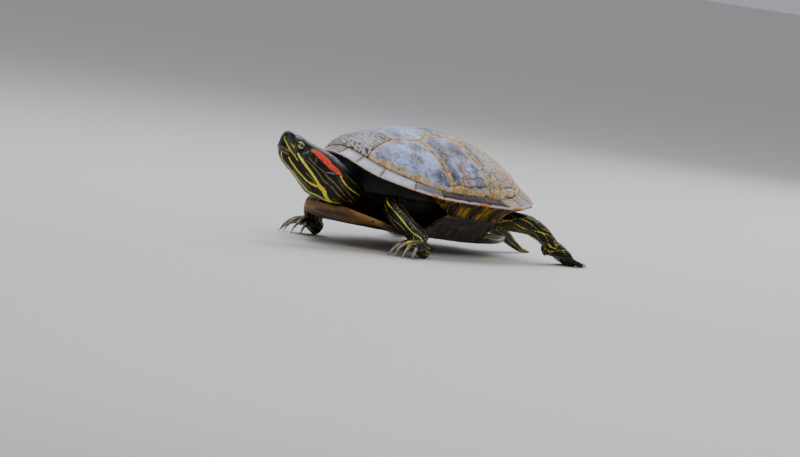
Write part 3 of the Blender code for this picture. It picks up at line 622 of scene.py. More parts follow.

# %% [markdown]
# ## Finish of the marginals
# Above, they are the same wet horn, painted almost white with a reflection of the sky at the front, and
# edged with orange where the horn is thin; along the sides they are copies painted darker as shade,
# with painted shade in the gutter and a painted highlight along the rolled lip. Below, they are the old
# bright pattern: ochre yellow, darkened with painted shade, with a dark ringed spot on every plate.


# %% Materials of the marginals
def marginal_horn(name, pale, silt, light="737A8E", dark="33363F", tan=("7A6340", "A88F66"), shade=0.0):
    """Top like the plates, pale by choice with a painted sky reflection, painted shade in the gutter by
    choice of shade, a painted highlight on the lip; underside ochre darkened with painted shade, with a
    dark ocellus and its ring.
    """
    look, shader = new_look(name, Roughness=0.50 + 0.30 * shade, IOR=1.54,
                            Specular_IOR_Level=0.35 - 0.25 * shade)
    place = add_node(look, "TexCoord", pick="Object")
    # Blob size in mm, detail, roughness, distortion.
    cloud, fleck, patch, speck, rust, bend, pond = (
        add_node(look, "TexNoise", {"Vector": place, "Scale": 1 / (size * MM), "Detail": detail,
                                    "Roughness": rough, "Distortion": bent})
        for size, detail, rough, bent in ((22, 4, 0.55, 0), (3.0, 4, 0.7, 0), (10, 5, 0.68, 0.6),
                                          (2.6, 4, 0.75, 0), (16, 2, 0.55, 0), (6, 2, 0.55, 0),
                                          (8, 4, 0.55, 0)))
    edge, groove, rim, ring, end, under = (
        add_node(look, "Attribute", pick="Fac", attribute_name=key)
        for key in ("edge", "groove", "rim", "ring", "end", "under"))
    horn = paint(look, dark, light, cloud, 0.36, 0.64)
    horn = paint(look, horn, "3E434E", fleck, 0.56, 0.72)
    # Painted reflection: a pale lavender near-white for the sky, laid over as much as pale asks.
    white = paint(look, "C6CDE4", "948D98", fleck, 0.5, 0.72)
    horn = add_node(look, "Mix", {0: pale, 6: horn, 7: white}, 2, data_type="RGBA")
    # Silt lies in the seams and wherever the dust of two noises is high.
    dust = add_node(look, "Mix", {0: 0.55, 2: speck, 3: patch})
    spread, line = (add_node(look, "MapRange", {0: value, 1: low, 2: high, 4: most}, **EASED)
                    for value, low, high, most in ((dust, 0.52 - silt, 0.62 - silt, 1.0),
                                                   (edge, 2.0, 0.3, 0.75)))
    cover = add_node(look, "Math", {0: line, 1: spread}, operation="MAXIMUM")
    silty = paint(look, *tan, fleck, 0.4, 0.6)
    top = add_node(look, "Mix", {0: cover, 6: horn, 7: silty}, 2, data_type="RGBA")
    # Painted shade: darker in the grooves of the growth rings.
    top = paint(look, top, "55504C", groove, 0.3, 0.9)
    # Painted shade: a dark band in the gutter, between two wavy distances from the rim, as strong as
    # shade; then a painted highlight, the pale lip along the rolled edge.
    wavy = add_node(look, "Math", {0: patch, 1: 2.5, 2: rim}, operation="MULTIPLY_ADD")
    inside = add_node(look, "MapRange", {0: wavy, 1: 7.75, 2: 4.75, 4: shade}, **EASED)
    top = paint(look, top, "131316", wavy, 1.95, 2.75, inside)
    top = paint(look, top, "D3BDB8", rim, 1.0, 0.35, 0.85)
    rusty = add_node(look, "MapRange", {0: rust, 1: 0.46, 2: 0.60}, **EASED)
    top = paint(look, top, "C9773F", rim, 1.0, 0.35, rusty)
    # Underneath, distances from the middle of the ringed spot, bent a little.
    drawn = add_node(look, "Math", {0: bend, 1: 2.6, 2: ring}, operation="MULTIPLY_ADD")
    # Painted shade: the yellow ochre underneath is darkened to brown.
    below = paint(look, "33240B", "8C6A18", pond, 0.38, 0.66)
    below = paint(look, below, "120D08", drawn, 8.2, 7.7)
    circle = add_node(look, "MapRange", {0: drawn, 1: 5.5, 2: 5.9}, **EASED)
    below = paint(look, below, "7A5A1C", drawn, 6.6, 6.3, circle)
    below = paint(look, below, "2C1E11", drawn, 4.9, 2.8)
    below = paint(look, below, "2A2012", end, 0.9, 0.3, 0.8)
    colour = add_node(look, "Mix", {0: under, 6: top, 7: below}, 2, data_type="RGBA")
    give(look, shader, {"Base Color": colour, "Normal": horn_bump(look, place, 0.4)})
    return look


# Painted reflection: the front plates are painted almost white as the sky's reflection.
edge_painted_sky_white = marginal_horn("marginal_keratin_painted_sky_white", 0.92, -0.07)
# Painted shade: the side plates are darker copies with a painted band in the gutter, and the three
# behind this one are darkest.
edge_half_shaded = marginal_horn("marginal_keratin_painted_half_shade", 0.10, 0.00, shade=0.35)
edge_painted_shade = marginal_horn("marginal_keratin_painted_shade", 0.0, 0.01, "55535A", "1E1E21",
                           ("4E3E28", "7C6646"), 0.85)
edge_silted = marginal_horn("silted_marginal_keratin", 0.05, 0.055)
print("edge materials", [look.name for look in (edge_painted_sky_white, edge_half_shaded, edge_painted_shade, edge_silted)])

# %% Make the nuchal and twenty-four marginals
NUCHAL = float(np.arctan2(0.035, APEX))              # half angle of the nuchal plate
SAWN_FROM = 1.6                                      # radians from the nose where serration begins
EDGE_LOOKS = [edge_painted_sky_white] * 3 + [edge_half_shaded] + [edge_painted_shade] * 3 + [edge_silted] * 5
seam_angles = [NUCHAL, *[angle_at(u) for u in MARGINAL_SEAMS[1:]]]
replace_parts(marginal("scute_nuchal", -NUCHAL, NUCHAL, 1, edge_silted, 0.0), "nuchal")
for side, word in ((1, "left"), (-1, "right")):
    for number, look in enumerate(EDGE_LOOKS):
        first, last = seam_angles[number:number + 2]
        notch = float(np.clip((first - SAWN_FROM) / 0.5, 0, 1))
        piece = marginal(f"scute_marginal_{word}_{number + 1:02d}", first, last, side, look, notch)
        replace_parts(piece, f"marginal_{word}_{number + 1:02d}")
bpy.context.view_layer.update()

# %% [markdown]
# ## Plastron
# The lower shell is a flat plate with two lobes, joined to the upper shell by bridges that curl up
# at the sides. Six pairs of plates meet on the middle seam. A grid runs from front to back and from
# side to side; its underside carries the seams as grooves, and a thin upper sheet closes it.

# %% The plastron's surface
BELLY_SEAMS = (0.135, 0.250, 0.400, 0.610, 0.790)    # shares of the length where plates meet
BELLY_THICK = 0.0038


def belly_half(u):
    """Half width: round front lobe, bridges with smooth shoulders, rear lobe narrowing to a notch."""
    lobe = 0.100 + 0.122 * np.sin(np.pi / 2 * np.clip((u - 0.030) / 0.19, 0, 1)) ** 0.9
    lobe = lobe - 0.105 * np.clip((u - 0.72) / 0.22, 0, 1) ** 1.6
    bridge = smoothstep((u - 0.315) / 0.05) * smoothstep((0.685 - u) / 0.05)
    return (lobe + 0.089 * bridge) * CARAPACE


def belly_surface(u, across):
    """The underside: flat, curled up at its sides and at the front lip, notched behind."""
    x = belly_half(u) * across
    bridge = smoothstep((u - 0.30) / 0.07) * smoothstep((0.70 - u) / 0.07)
    steep = smoothstep((np.abs(x) / CARAPACE - 0.19) / 0.115)
    rise = 0.084 * CARAPACE * steep * (0.45 + 0.55 * bridge)
    lip = 0.050 * CARAPACE * np.clip((0.27 - u) / 0.24, 0, 1) ** 1.6
    notch = 0.022 * CARAPACE * np.clip((u - 0.80) / 0.14, 0, 1) * (1 - np.abs(across)) ** 2
    tail = 0.022 * CARAPACE * np.clip((u - 0.60) / 0.34, 0, 1) ** 1.4
    return np.stack([x, (u - 0.5) * CARAPACE - notch, -0.157 * CARAPACE + rise + lip + tail], -1)


u, across = np.meshgrid(np.linspace(0.0355, 0.9445, 260), np.sin(np.linspace(-1, 1, 150) * np.pi / 2),
                        indexing="ij")
under = belly_surface(u, across)
bow = u + 0.030 * (np.abs(across) ** 2) * np.sign(0.45 - u)
seam_mm = np.abs(bow[..., None] - np.array(BELLY_SEAMS)).min(-1) * CARAPACE / MM
seam_mm = np.minimum(seam_mm, np.abs(under[..., 0] + 0.4 * MM * np.sin(u * 31)) / MM)
edge_mm = (1 - np.abs(across)) * belly_half(u) / MM
carved = 0.45 * (1 - smoothstep(seam_mm / 0.9)) ** 2 + 0.10 * ripples(under / MM, 11.0, 5.0)
round_edge = 0.9 * np.exp(-edge_mm / 0.8)
low, high = under.copy(), under.copy()
low[..., 2] += (carved + round_edge) * MM
high[..., 2] += BELLY_THICK - (round_edge * 0.8) * MM
belly_rings = to_world(np.concatenate([low, high[:, ::-1]], 1))
print("plastron grid", belly_rings.shape)

# %% [markdown]
# Its horn is ochre and orange-brown, darkened with painted shade, with one dark blotch on each plate.
# The blotches are ellipses in the plates' middles, and their distance is stored for the material.

# %% Blotches
# Middle of each plate along the length, and its blotch's reach to the side and along, as shares.
BLOTCHES = np.array([(0.085, 0.045, 0.026), (0.195, 0.095, 0.040), (0.325, 0.115, 0.050),
                     (0.505, 0.125, 0.075), (0.700, 0.105, 0.062), (0.865, 0.055, 0.044)])
middle, reach_x, reach_y = BLOTCHES.T * np.array([[1], [CARAPACE], [CARAPACE]])
blot = np.hypot((np.abs(under[..., 0])[..., None] - reach_x * 0.95) / reach_x,
                ((bow[..., None] - middle) * CARAPACE) / reach_y).min(-1)
blot = blot + 0.22 * ripples(under / MM, 13.0, 8.0)
print("blotch distances from", round(blot.min(), 2), "to", round(blot.max(), 2))


# %% Material and piece of the plastron
def belly_horn():
    """Plastral keratin: yellow-ochre darkened to brown with painted shade, browner in clouds, with
    near-black blotches, dark seams and a bridge darkened with painted shadow.
    """
    look, shader = new_look("plastron_keratin_painted_shade", Roughness=0.46, IOR=1.54,
                            Specular_IOR_Level=0.3)
    place = add_node(look, "TexCoord", pick="Object")
    cloud = add_node(look, "TexNoise", {"Vector": place, "Scale": 1 / (20 * MM), "Detail": 5,
                                        "Roughness": 0.6})
    veins = add_node(look, "TexNoise", {"Vector": place, "Scale": 1 / (13 * MM), "Detail": 2,
                                        "Roughness": 0.5, "Distortion": 0.8})
    blotch, side, seam = (add_node(look, "Attribute", pick="Fac", attribute_name=key)
                          for key in ("blot", "side", "seam"))
    # Painted shade: the ochre horn is darkened to brown.
    colour = paint(look, "5E3B19", "8F6A2E", cloud, 0.34, 0.66)
    colour = paint(look, colour, "20160D", blotch, 0.98, 0.84)
    # The bridge is nearly black, its own dark bars and painted shadow under the shell together, with a
    # net of ochre where the veins' noise crosses its middle.
    bars_and_painted_shadow = add_node(look, "Math", {0: cloud, 1: 0.9, 2: side}, operation="MULTIPLY_ADD")
    off_middle = add_node(look, "Math", {0: veins, 1: 0.5}, operation="SUBTRACT")
    net = add_node(look, "Math", {0: off_middle}, operation="ABSOLUTE")
    bridge = paint(look, "0B0805", "4A3510", net, 0.035, 0.012)
    colour = paint(look, colour, bridge, bars_and_painted_shadow, 0.62, 1.05)
    colour = paint(look, colour, "2E2012", seam, 1.1, 0.3)
    give(look, shader, {"Base Color": colour, "Normal": horn_bump(look, place, 0.35)})
    return look


plastron = add_tube("plastron_plates", belly_rings, belly_horn())
clean = np.full_like(blot, 2.0)
reach_out = smoothstep((np.abs(under[..., 0]) / CARAPACE - 0.175) / 0.05)
for key, below, above, end in (("blot", blot, clean, 2.0), ("side", reach_out, reach_out[:, ::-1], 0.0),
                               ("seam", seam_mm, clean, 2.0)):
    set_values(plastron, key, [*np.concatenate([below, above], 1).ravel(), end, end])
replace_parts(plastron, "plastron")
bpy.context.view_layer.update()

# %% [markdown]
# ## The flesh: paths with rings
# Head, neck, limbs and tail are each a path with a cross-section carried along it. A path is a few
# rows of position and half sizes, read through a smooth curve. The cross-section's own directions
# are carried from ring to ring without twisting, so a stripe at one angle runs straight along.

# %% Reading a path
SKIN_INSET = 0.25 * MM               # how far the plain skin lies inside the solids


def smooth_rows(rows, place):
    """Catmull-Rom: rows read at places 0 to 1, through every given row."""
    rows = np.asarray(rows, float)
    rows = np.vstack([2 * rows[0] - rows[1], rows, 2 * rows[-1] - rows[-2]])
    spot = np.clip(place, 0, 1) * (len(rows) - 3)
    base = np.clip(spot.astype(int), 0, len(rows) - 4)
    t = (spot - base)[:, None]
    a, b, c, d = (rows[base + k] for k in range(4))
    return 0.5 * (2 * b + (c - a) * t + (2 * a - 5 * b + 4 * c - d) * t ** 2
                  + (3 * b - a - 3 * c + d) * t ** 3)


def carried_path(rows, count, up=(0.0, 0.0, 1.0)):
    """Centres, side and rise directions, half sizes and lengths along a path of rows.

    Side starts level and is turned only as far as the path turns: held less its share along it.
    """
    place = np.linspace(0, 1, count)
    read_rows = smooth_rows(rows, place)
    ahead = smooth_rows(rows, np.minimum(place + 0.004, 1))[:, :3]
    along = ahead - smooth_rows(rows, np.maximum(place - 0.004, 0))[:, :3]
    along /= np.linalg.norm(along, axis=1)[:, None]
    side = np.zeros_like(along)
    held = np.cross(np.asarray(up), along[0])
    for ring, way in enumerate(along):
        held = held - held @ way * way
        held = held / np.linalg.norm(held)
        side[ring] = held
    step = np.linalg.norm(np.diff(read_rows[:, :3], axis=0), axis=1)
    return {"centre": read_rows[:, :3], "side": side, "rise": np.cross(along, side), "along": along,
            "half": read_rows[:, 3:5], "length": np.concatenate([[0], np.cumsum(step)])}


def round_path(path, angle, extra):
    """P = centre + (a cos t) side + (b sin t) rise, with extra metres added to both half sizes."""
    wide, high = path["half"][:, :1] + extra, path["half"][:, 1:] + extra
    return (path["centre"][:, None] + path["side"][:, None] * (np.cos(angle) * wide)[..., None]
            + path["rise"][:, None] * (np.sin(angle) * high)[..., None])


def rings_of(path, sides, relief=None, shrink=SKIN_INSET):
    """Even rings round a path; relief gives mm from the length in mm and the angle round it."""
    angle = np.linspace(0, 2 * np.pi, sides, endpoint=False)
    extra = relief(path["length"][:, None] / MM, angle[None]) * MM if relief else 0.0
    return round_path(path, angle, extra - shrink)


print("a straight path of 10 mm is", carried_path([(0, 0, 0), (0, 0.01, 0)], 5)["length"][-1], "m long")

# %% [markdown]
# ## Head and neck
# The head is flat-crowned and wedge-shaped, with a rounded snout and no teeth: horn-edged jaws meet
# in a line. It is described in its own frame, in millimetres behind the beak, to the left and above
# the mouth. The neck follows it in one surface, so the skin runs on without a seam.

# %% The head's frame and sections
UP = np.array([0.0, 0.0, 1.0])


def unit(vector):
    """The vector divided by its length."""
    return np.asarray(vector, float) / np.linalg.norm(vector)


BEAK_TIP = np.array([-0.041, -0.737, 0.087]) * CARAPACE
FORWARD = unit([-0.401, -0.813, 0.422])
HEAD_UP = unit(UP - FORWARD[2] * FORWARD)
HEAD_LEFT = np.cross(HEAD_UP, FORWARD)
# Behind the beak's tip, top, bottom and half width, in mm.
HEAD_SECTIONS = np.array([(-3.2, 12.2, 8.0, 2.4), (-2.3, 13.6, 5.2, 4.2), (-0.4, 15.0, -0.6, 6.2),
                          (3.0, 15.8, -4.2, 8.4), (7.5, 16.4, -6.9, 10.2), (12.5, 16.8, -8.3, 12.0),
                          (18.0, 17.0, -9.4, 13.6), (24.0, 17.8, -11.2, 14.8),
                          (30.0, 18.6, -13.2, 15.0), (36.0, 19.2, -15.2, 14.6)])
HEAD_END = 36.0
EYE_AT = np.array([10.3, 7.1, 8.8])          # behind, to the left, above
EYE_RADIUS = 4.3
GAZE = unit([-0.24, 0.95, 0.20])
EYE_FORE = unit(np.cross(GAZE, UP))          # level, across the gaze
EYE_RISE = np.cross(EYE_FORE, GAZE)
EYE_RISE *= np.sign(EYE_RISE[2])


def from_head(back, left, up):
    """Head millimetres to the shell's frame in metres."""
    back, left, up = (np.asarray(v, float)[..., None] * MM for v in (back, left, up))
    return BEAK_TIP - back * FORWARD + left * HEAD_LEFT + up * HEAD_UP


def to_head(points):
    """Shell frame in metres to head millimetres: behind, left, above."""
    offset = (points - BEAK_TIP) / MM
    return np.stack([-offset @ FORWARD, offset @ HEAD_LEFT, offset @ HEAD_UP], -1)


# Centre, half width and half height in metres, from the back of the head into the trunk.
NECK_ROWS = np.array([
    (*from_head(HEAD_END + 0.7, 0, 2.0), 0.0146, 0.0172), (*from_head(41.5, 0, 2.2), 0.0148, 0.0173),
    (0.0092, -0.1044, -0.0008, 0.0154, 0.0160), (0.0066, -0.0940, -0.0030, 0.0158, 0.0142),
    (0.0024, -0.0810, -0.0060, 0.0160, 0.0116), (0.0008, -0.0660, -0.0064, 0.0160, 0.0120)])


def dense_between(low, high, fine_low, fine_high, step, fine_step):
    """Places from low to high, a fine step apart inside one stretch and a coarser one outside."""
    return np.concatenate([np.arange(low, fine_low, step), np.arange(fine_low, fine_high, fine_step),
                           np.arange(fine_high, high, step), [high]])


# The grid is finest round the eyes: in mm along the head, and in degrees from throat to crown.
back_mm = dense_between(-3.2, HEAD_END, 3.5, 18.5, 0.42, 0.27)
half_turn = dense_between(-90.0, 90.0, -42.0, 55.0, 2.9, 1.2)
turn = np.radians(np.concatenate([half_turn, 180 - half_turn[-2:0:-1]]))
row_share = np.interp(back_mm, HEAD_SECTIONS[:, 0], np.linspace(0, 1, len(HEAD_SECTIONS)))
head_rows = smooth_rows(HEAD_SECTIONS, row_share)
print("head rings", len(back_mm), "round", len(turn))

# %% [markdown]
# The crown is plain; character comes from small forms laid over it: brows over the orbits, lids that
# close round the eyeball, the ear drum behind the jaw, nostrils, the mouth's line and the folds of
# the throat. Each is a bump or groove, written as a distance and a smooth step.

# %% The plain head
SQUARE = 0.86                        # power that turns the round section a little boxy
across = np.sign(np.cos(turn)) * np.abs(np.cos(turn)) ** SQUARE
above = np.sign(np.sin(turn)) * np.abs(np.sin(turn)) ** SQUARE
middle, tall = (head_rows[:, 1:2] + head_rows[:, 2:3]) / 2, (head_rows[:, 1:2] - head_rows[:, 2:3]) / 2
grid = np.stack([np.broadcast_to(head_rows[:, :1], (len(back_mm), len(turn))),
                 head_rows[:, 3:4] * across * (1 - 0.20 * np.clip(above, 0, 1)),
                 middle + tall * above], -1)


def grid_normals(points):
    """Unit normals of a grid closed across its columns, from differences of its neighbours."""
    down = np.gradient(points, axis=0)
    round_way = np.roll(points, -1, 1) - np.roll(points, 1, 1)
    made = np.cross(down, round_way)
    return made / (np.linalg.norm(made, axis=-1, keepdims=True) + 1e-12)


def folded(points):
    """Head points with the right side laid on the left."""
    return np.stack([points[..., 0], np.abs(points[..., 1]), points[..., 2]], -1)


normal = grid_normals(grid)
normal *= np.sign((normal[60, :, 1] * grid[60, :, 1]).sum())     # outwards, seen on one ring
print("plain head", np.round(grid.reshape(-1, 3).min(0), 1), np.round(grid.reshape(-1, 3).max(0), 1))

# %% Sculpting the head: heights in mm along the normal
b, l, h = np.moveaxis(folded(grid), -1, 0)                       # behind, to the side, above
on_jaw = smoothstep((15.5 - b) / 1.6)
lips_at = 0.35 * np.sin(np.clip(b / 14, 0, 1) * np.pi) - 0.2
relief = -1.05 * bell(h - lips_at, 0.40) * on_jaw                          # the mouth's line
relief += 0.38 * bell(h - lips_at - 1.2, 0.9) * on_jaw                     # upper lip stands over it
relief -= 0.35 * bell(h - lips_at + 1.4, 1.3) * on_jaw                     # lower lip lies back
relief += 0.45 * bell(np.hypot((b - 15.8) * 0.8, h + 0.6), 2.0)            # cushion at the corner
drum = np.hypot((b - 21.3) * 0.92, h - 5.6)
relief += 0.32 * bell(drum - 4.3, 0.8)                                     # ring of the ear drum
relief -= 0.30 * (1 - smoothstep((drum - 2.6) / 1.4)) * (l > 6)            # the drum, sunk
relief += 0.75 * bell(np.hypot((b - 10.4) * 0.42, (h - 14.2) * 0.9), 1.9)  # brow
relief -= 0.55 * bell(b - 4.6, 2.0) * smoothstep((h - 11.0) / 3.0)         # dip between nose and brow
relief += 0.35 * bell(np.hypot(b + 0.8, h - 13.2), 1.6)                    # swollen nose
relief -= 0.30 * bell(np.hypot((b - 3.4) * 0.5, (h - 10.8) * 0.8), 2.0)    # hollow before the eye
relief -= 0.85 * bell(np.hypot(b + 2.2, h - 9.9), 0.75) * bell(l - 1.6, 0.9)     # nostrils
throat = smoothstep((-h - 3.0) / 5.0) * smoothstep((b - 10) / 6)
relief += 0.16 * throat * ripples(folded(grid) * (1.0, 0.35, 0.35), 3.4, 2.0)    # folds of the throat
grid = grid + relief[..., None] * normal
print("relief from", round(relief.min(), 2), "to", round(relief.max(), 2), "mm")

# %% Lids
LID_TILT = 0.12                      # radians that the opening is turned about the gaze
LID_DEGREES = 35                     # half opening up and down, one more above
LID_LONGER = 12                      # degrees more towards its corners


def lid_radius(points):
    """Distance and direction from the eye, wanted radius, its blend, and degrees past the lid.

    The skin's wanted radius is under the ball in the opening and over it at the lids. The opening is
    an ellipse of directions about the gaze, wider along the head than up and down.
    """
    from_eye = points - EYE_AT
    reach = np.linalg.norm(from_eye, axis=-1)
    way = from_eye / np.maximum(reach, 1e-6)[..., None]
    u, v = way @ EYE_FORE, way @ EYE_RISE
    u, v = (u * np.cos(LID_TILT) - v * np.sin(LID_TILT), v * np.cos(LID_TILT) + u * np.sin(LID_TILT))
    corner = np.abs(np.cos(np.arctan2(v, u))) ** 1.5
    edge = np.radians(LID_DEGREES + (v > 0)) + np.radians(LID_LONGER) * corner
    past = np.degrees(np.arccos(np.clip(way @ GAZE, -1, 1)) - edge)
    lid = EYE_RADIUS + 0.62 - 0.30 * smoothstep((past - 8) / 14) + 0.22 * bell(past - 22, 6.0)
    opened = EYE_RADIUS - 0.9
    wanted = opened + (lid - opened) * smoothstep((past + 4.0) / 4.5)
    return reach, way, wanted, smoothstep((past - 12) / 30), past


reach, way, wanted, blend, past_lid = lid_radius(folded(grid))
near = (reach < 11) & (way @ GAZE > -0.2)
target = np.where(near, wanted + (reach - wanted) * blend, reach)
over_eye = 0.30 + 0.30 * (grid[..., 2] > EYE_AT[2])
fold = -0.55 * bell(past_lid - 17, 5.0) + over_eye * bell(past_lid - 30, 6.0)
target = np.where(near & (past_lid > 5), target + fold, target)
moved = EYE_AT + way * target[..., None]
moved[..., 1] *= np.sign(grid[..., 1]) + (grid[..., 1] == 0)
head_grid = np.where(near[..., None], moved, grid) - SKIN_INSET / MM * normal
head_rings = from_head(*np.moveaxis(head_grid, -1, 0))
print("eye opening rings", int((past_lid < 0).any(1).sum()), "of", len(back_mm))

# %% [markdown]
# ## The neck
# Stretched out, the neck is a thick tube with loose skin that gathers in soft rings towards the
# shoulders. The first ring repeats the head's last one and eases into the round section.

# %% The neck's rings joined to the head
NECK_RINGS = 46
EASE_RINGS = 9                       # rings over which the head's outline becomes the neck's
EASE_ROUNDS = 40                     # of averaging each ring near the join with its neighbours
neck_path = carried_path(NECK_ROWS, NECK_RINGS, up=HEAD_UP)
for key, way in (("side", HEAD_LEFT), ("rise", HEAD_UP)):      # as on the head: left, and up
    neck_path[key] = neck_path[key] * np.sign(neck_path[key][0] @ way)


def neck_relief(length, angle):
    """Soft gathers across the neck, deeper towards the root and underneath."""
    deeper = smoothstep((length - 8) / 30) * (0.6 - 0.4 * np.sin(angle))
    gathers = (1 - np.abs(np.sin(np.pi * (length / 6.2 + 0.22 * np.sin(2 * angle + 1.0))))) ** 2
    return -0.9 * deeper * gathers + 0.10 * np.sin(angle * 9 + length * 0.4)


extra = neck_relief(neck_path["length"][:, None] / MM, turn[None]) * MM
neck_rings = round_path(neck_path, turn, extra - SKIN_INSET)
ease = smoothstep(np.arange(NECK_RINGS) / EASE_RINGS)[:, None, None]
follow = head_rings[-1] - head_rings[-1].mean(0) + neck_path["centre"][:, None]
neck_rings = follow * (1 - ease) + neck_rings * ease
whole_rings = np.concatenate([head_rings, neck_rings[1:]])
join_row = len(head_rings)
for _ in range(EASE_ROUNDS):
    band = whole_rings[join_row - 19:join_row + 16]
    whole_rings[join_row - 18:join_row + 15] = 0.5 * band[1:-1] + 0.25 * (band[:-2] + band[2:])
print("head and neck rings", whole_rings.shape)

# %% [markdown]
# ## Limbs
# Stout, scaly limbs carry five digits with claws. Each limb is one path from shoulder or hip to
# wrist or ankle, then a palm and five digits as more paths. They overlap, and are fused into one
# closed form further down, which also fills the webs between the digits.

# %% Limb paths
# Centre, half width and half height as shares of the carapace.
LIMBS = {
    "fore_left": ((0.100, -0.200, -0.058, 0.040, 0.036), (0.145, -0.262, -0.060, 0.041, 0.037),
                  (0.190, -0.312, -0.068, 0.041, 0.036), (0.236, -0.328, -0.092, 0.040, 0.034),
                  (0.274, -0.304, -0.126, 0.038, 0.031), (0.299, -0.272, -0.152, 0.036, 0.028),
                  (0.309, -0.256, -0.172, 0.035, 0.026)),
    "fore_right": ((-0.100, -0.190, -0.058, 0.040, 0.036), (-0.150, -0.232, -0.062, 0.041, 0.037),
                   (-0.202, -0.258, -0.074, 0.041, 0.036), (-0.248, -0.252, -0.100, 0.040, 0.034),
                   (-0.280, -0.222, -0.130, 0.038, 0.031), (-0.302, -0.190, -0.154, 0.036, 0.028),
                   (-0.311, -0.172, -0.174, 0.035, 0.026)),
    "hind_left": ((0.110, 0.205, -0.056, 0.046, 0.040), (0.180, 0.250, -0.050, 0.047, 0.041),
                  (0.250, 0.296, -0.050, 0.046, 0.040), (0.304, 0.340, -0.054, 0.042, 0.037),
                  (0.328, 0.388, -0.074, 0.037, 0.033), (0.338, 0.424, -0.096, 0.034, 0.029),
                  (0.344, 0.448, -0.112, 0.032, 0.026)),
    "hind_right": ((-0.110, 0.195, -0.056, 0.046, 0.040), (-0.180, 0.232, -0.052, 0.047, 0.041),
                   (-0.255, 0.264, -0.056, 0.046, 0.040), (-0.318, 0.300, -0.074, 0.042, 0.037),
                   (-0.350, 0.340, -0.094, 0.037, 0.033), (-0.366, 0.374, -0.112, 0.034, 0.029),
                   (-0.376, 0.396, -0.124, 0.032, 0.026)),
}
TAIL = ((0.000, 0.330, -0.055, 0.060, 0.045), (0.000, 0.420, -0.062, 0.052, 0.042),
        (0.002, 0.500, -0.084, 0.038, 0.036), (0.006, 0.580, -0.120, 0.025, 0.025),
        (0.010, 0.660, -0.156, 0.014, 0.015), (0.014, 0.725, -0.170, 0.006, 0.007))
HEADINGS = {"fore_left": (-0.05, -1.0), "fore_right": (-0.15, -1.0),
            "hind_left": (0.26, 1.0), "hind_right": (-0.52, 1.0)}
BAND = 3.4                           # mm from one band of scales to the next
FOLDS = 21.0                         # mm between the folds of the limb's skin


def limb_relief(length, angle):
    """Overlapping bands of scales: a ramp that rises and drops once a band, staggered round it."""
    band = length / BAND + 0.5 * np.floor(angle * 2.4)
    saw = (band % 1) * (0.5 + 0.5 * np.abs(np.cos(angle * 1.2)))
    return 0.22 * saw - 0.35 * bell((length % FOLDS) - 9.0, 1.3)


print("limbs", list(LIMBS))

# %% [markdown]
# ## Hands and feet
# A turtle's hand is a short palm with five digits in a fan, webbed, and each digit ends in a claw.
# One small table gives the palm, one digit and its claw in side view; the fan repeats the digit at
# five angles, shorter and lower towards the sides.

# %% Rows of a paw
# Palm rows: ahead of the wrist, height, half width, half height. Digit rows: ahead, height, for the
# root, the knuckle, the tip, the claw's middle and its point. All in mm, and the fan in degrees.
PAWS = {
    "fore": {"palm": ((-5.0, 4.2, 5.4, 6.2), (0.5, 7.8, 6.8, 6.2), (7.0, 9.8, 8.0, 4.6),
                      (12.0, 10.4, 7.2, 3.2)),
             "digit": ((7.0, 9.6), (13.0, 11.4), (17.0, 10.2), (24.0, 6.4), (29.0, 0.6)),
             "fan": 24.0, "digit_half": 2.5, "claw_half": 1.25, "drop": 2.4, "web": 14.0},
    "hind": {"palm": ((-5.5, 12.0, 6.0, 5.4), (1.0, 12.4, 8.0, 6.4), (10.0, 9.0, 9.8, 5.2),
                      (19.0, 1.9, 10.8, 3.0)),
             "digit": ((11.0, 6.4), (18.0, 4.2), (24.0, 2.2), (27.4, 2.2), (30.4, 0.6)),
             "fan": 20.0, "digit_half": 2.4, "claw_half": 1.2, "drop": 0.4, "web": 22.0},
}
KNUCKLES = 0.76                      # share of the palm's half width over which the digits stand


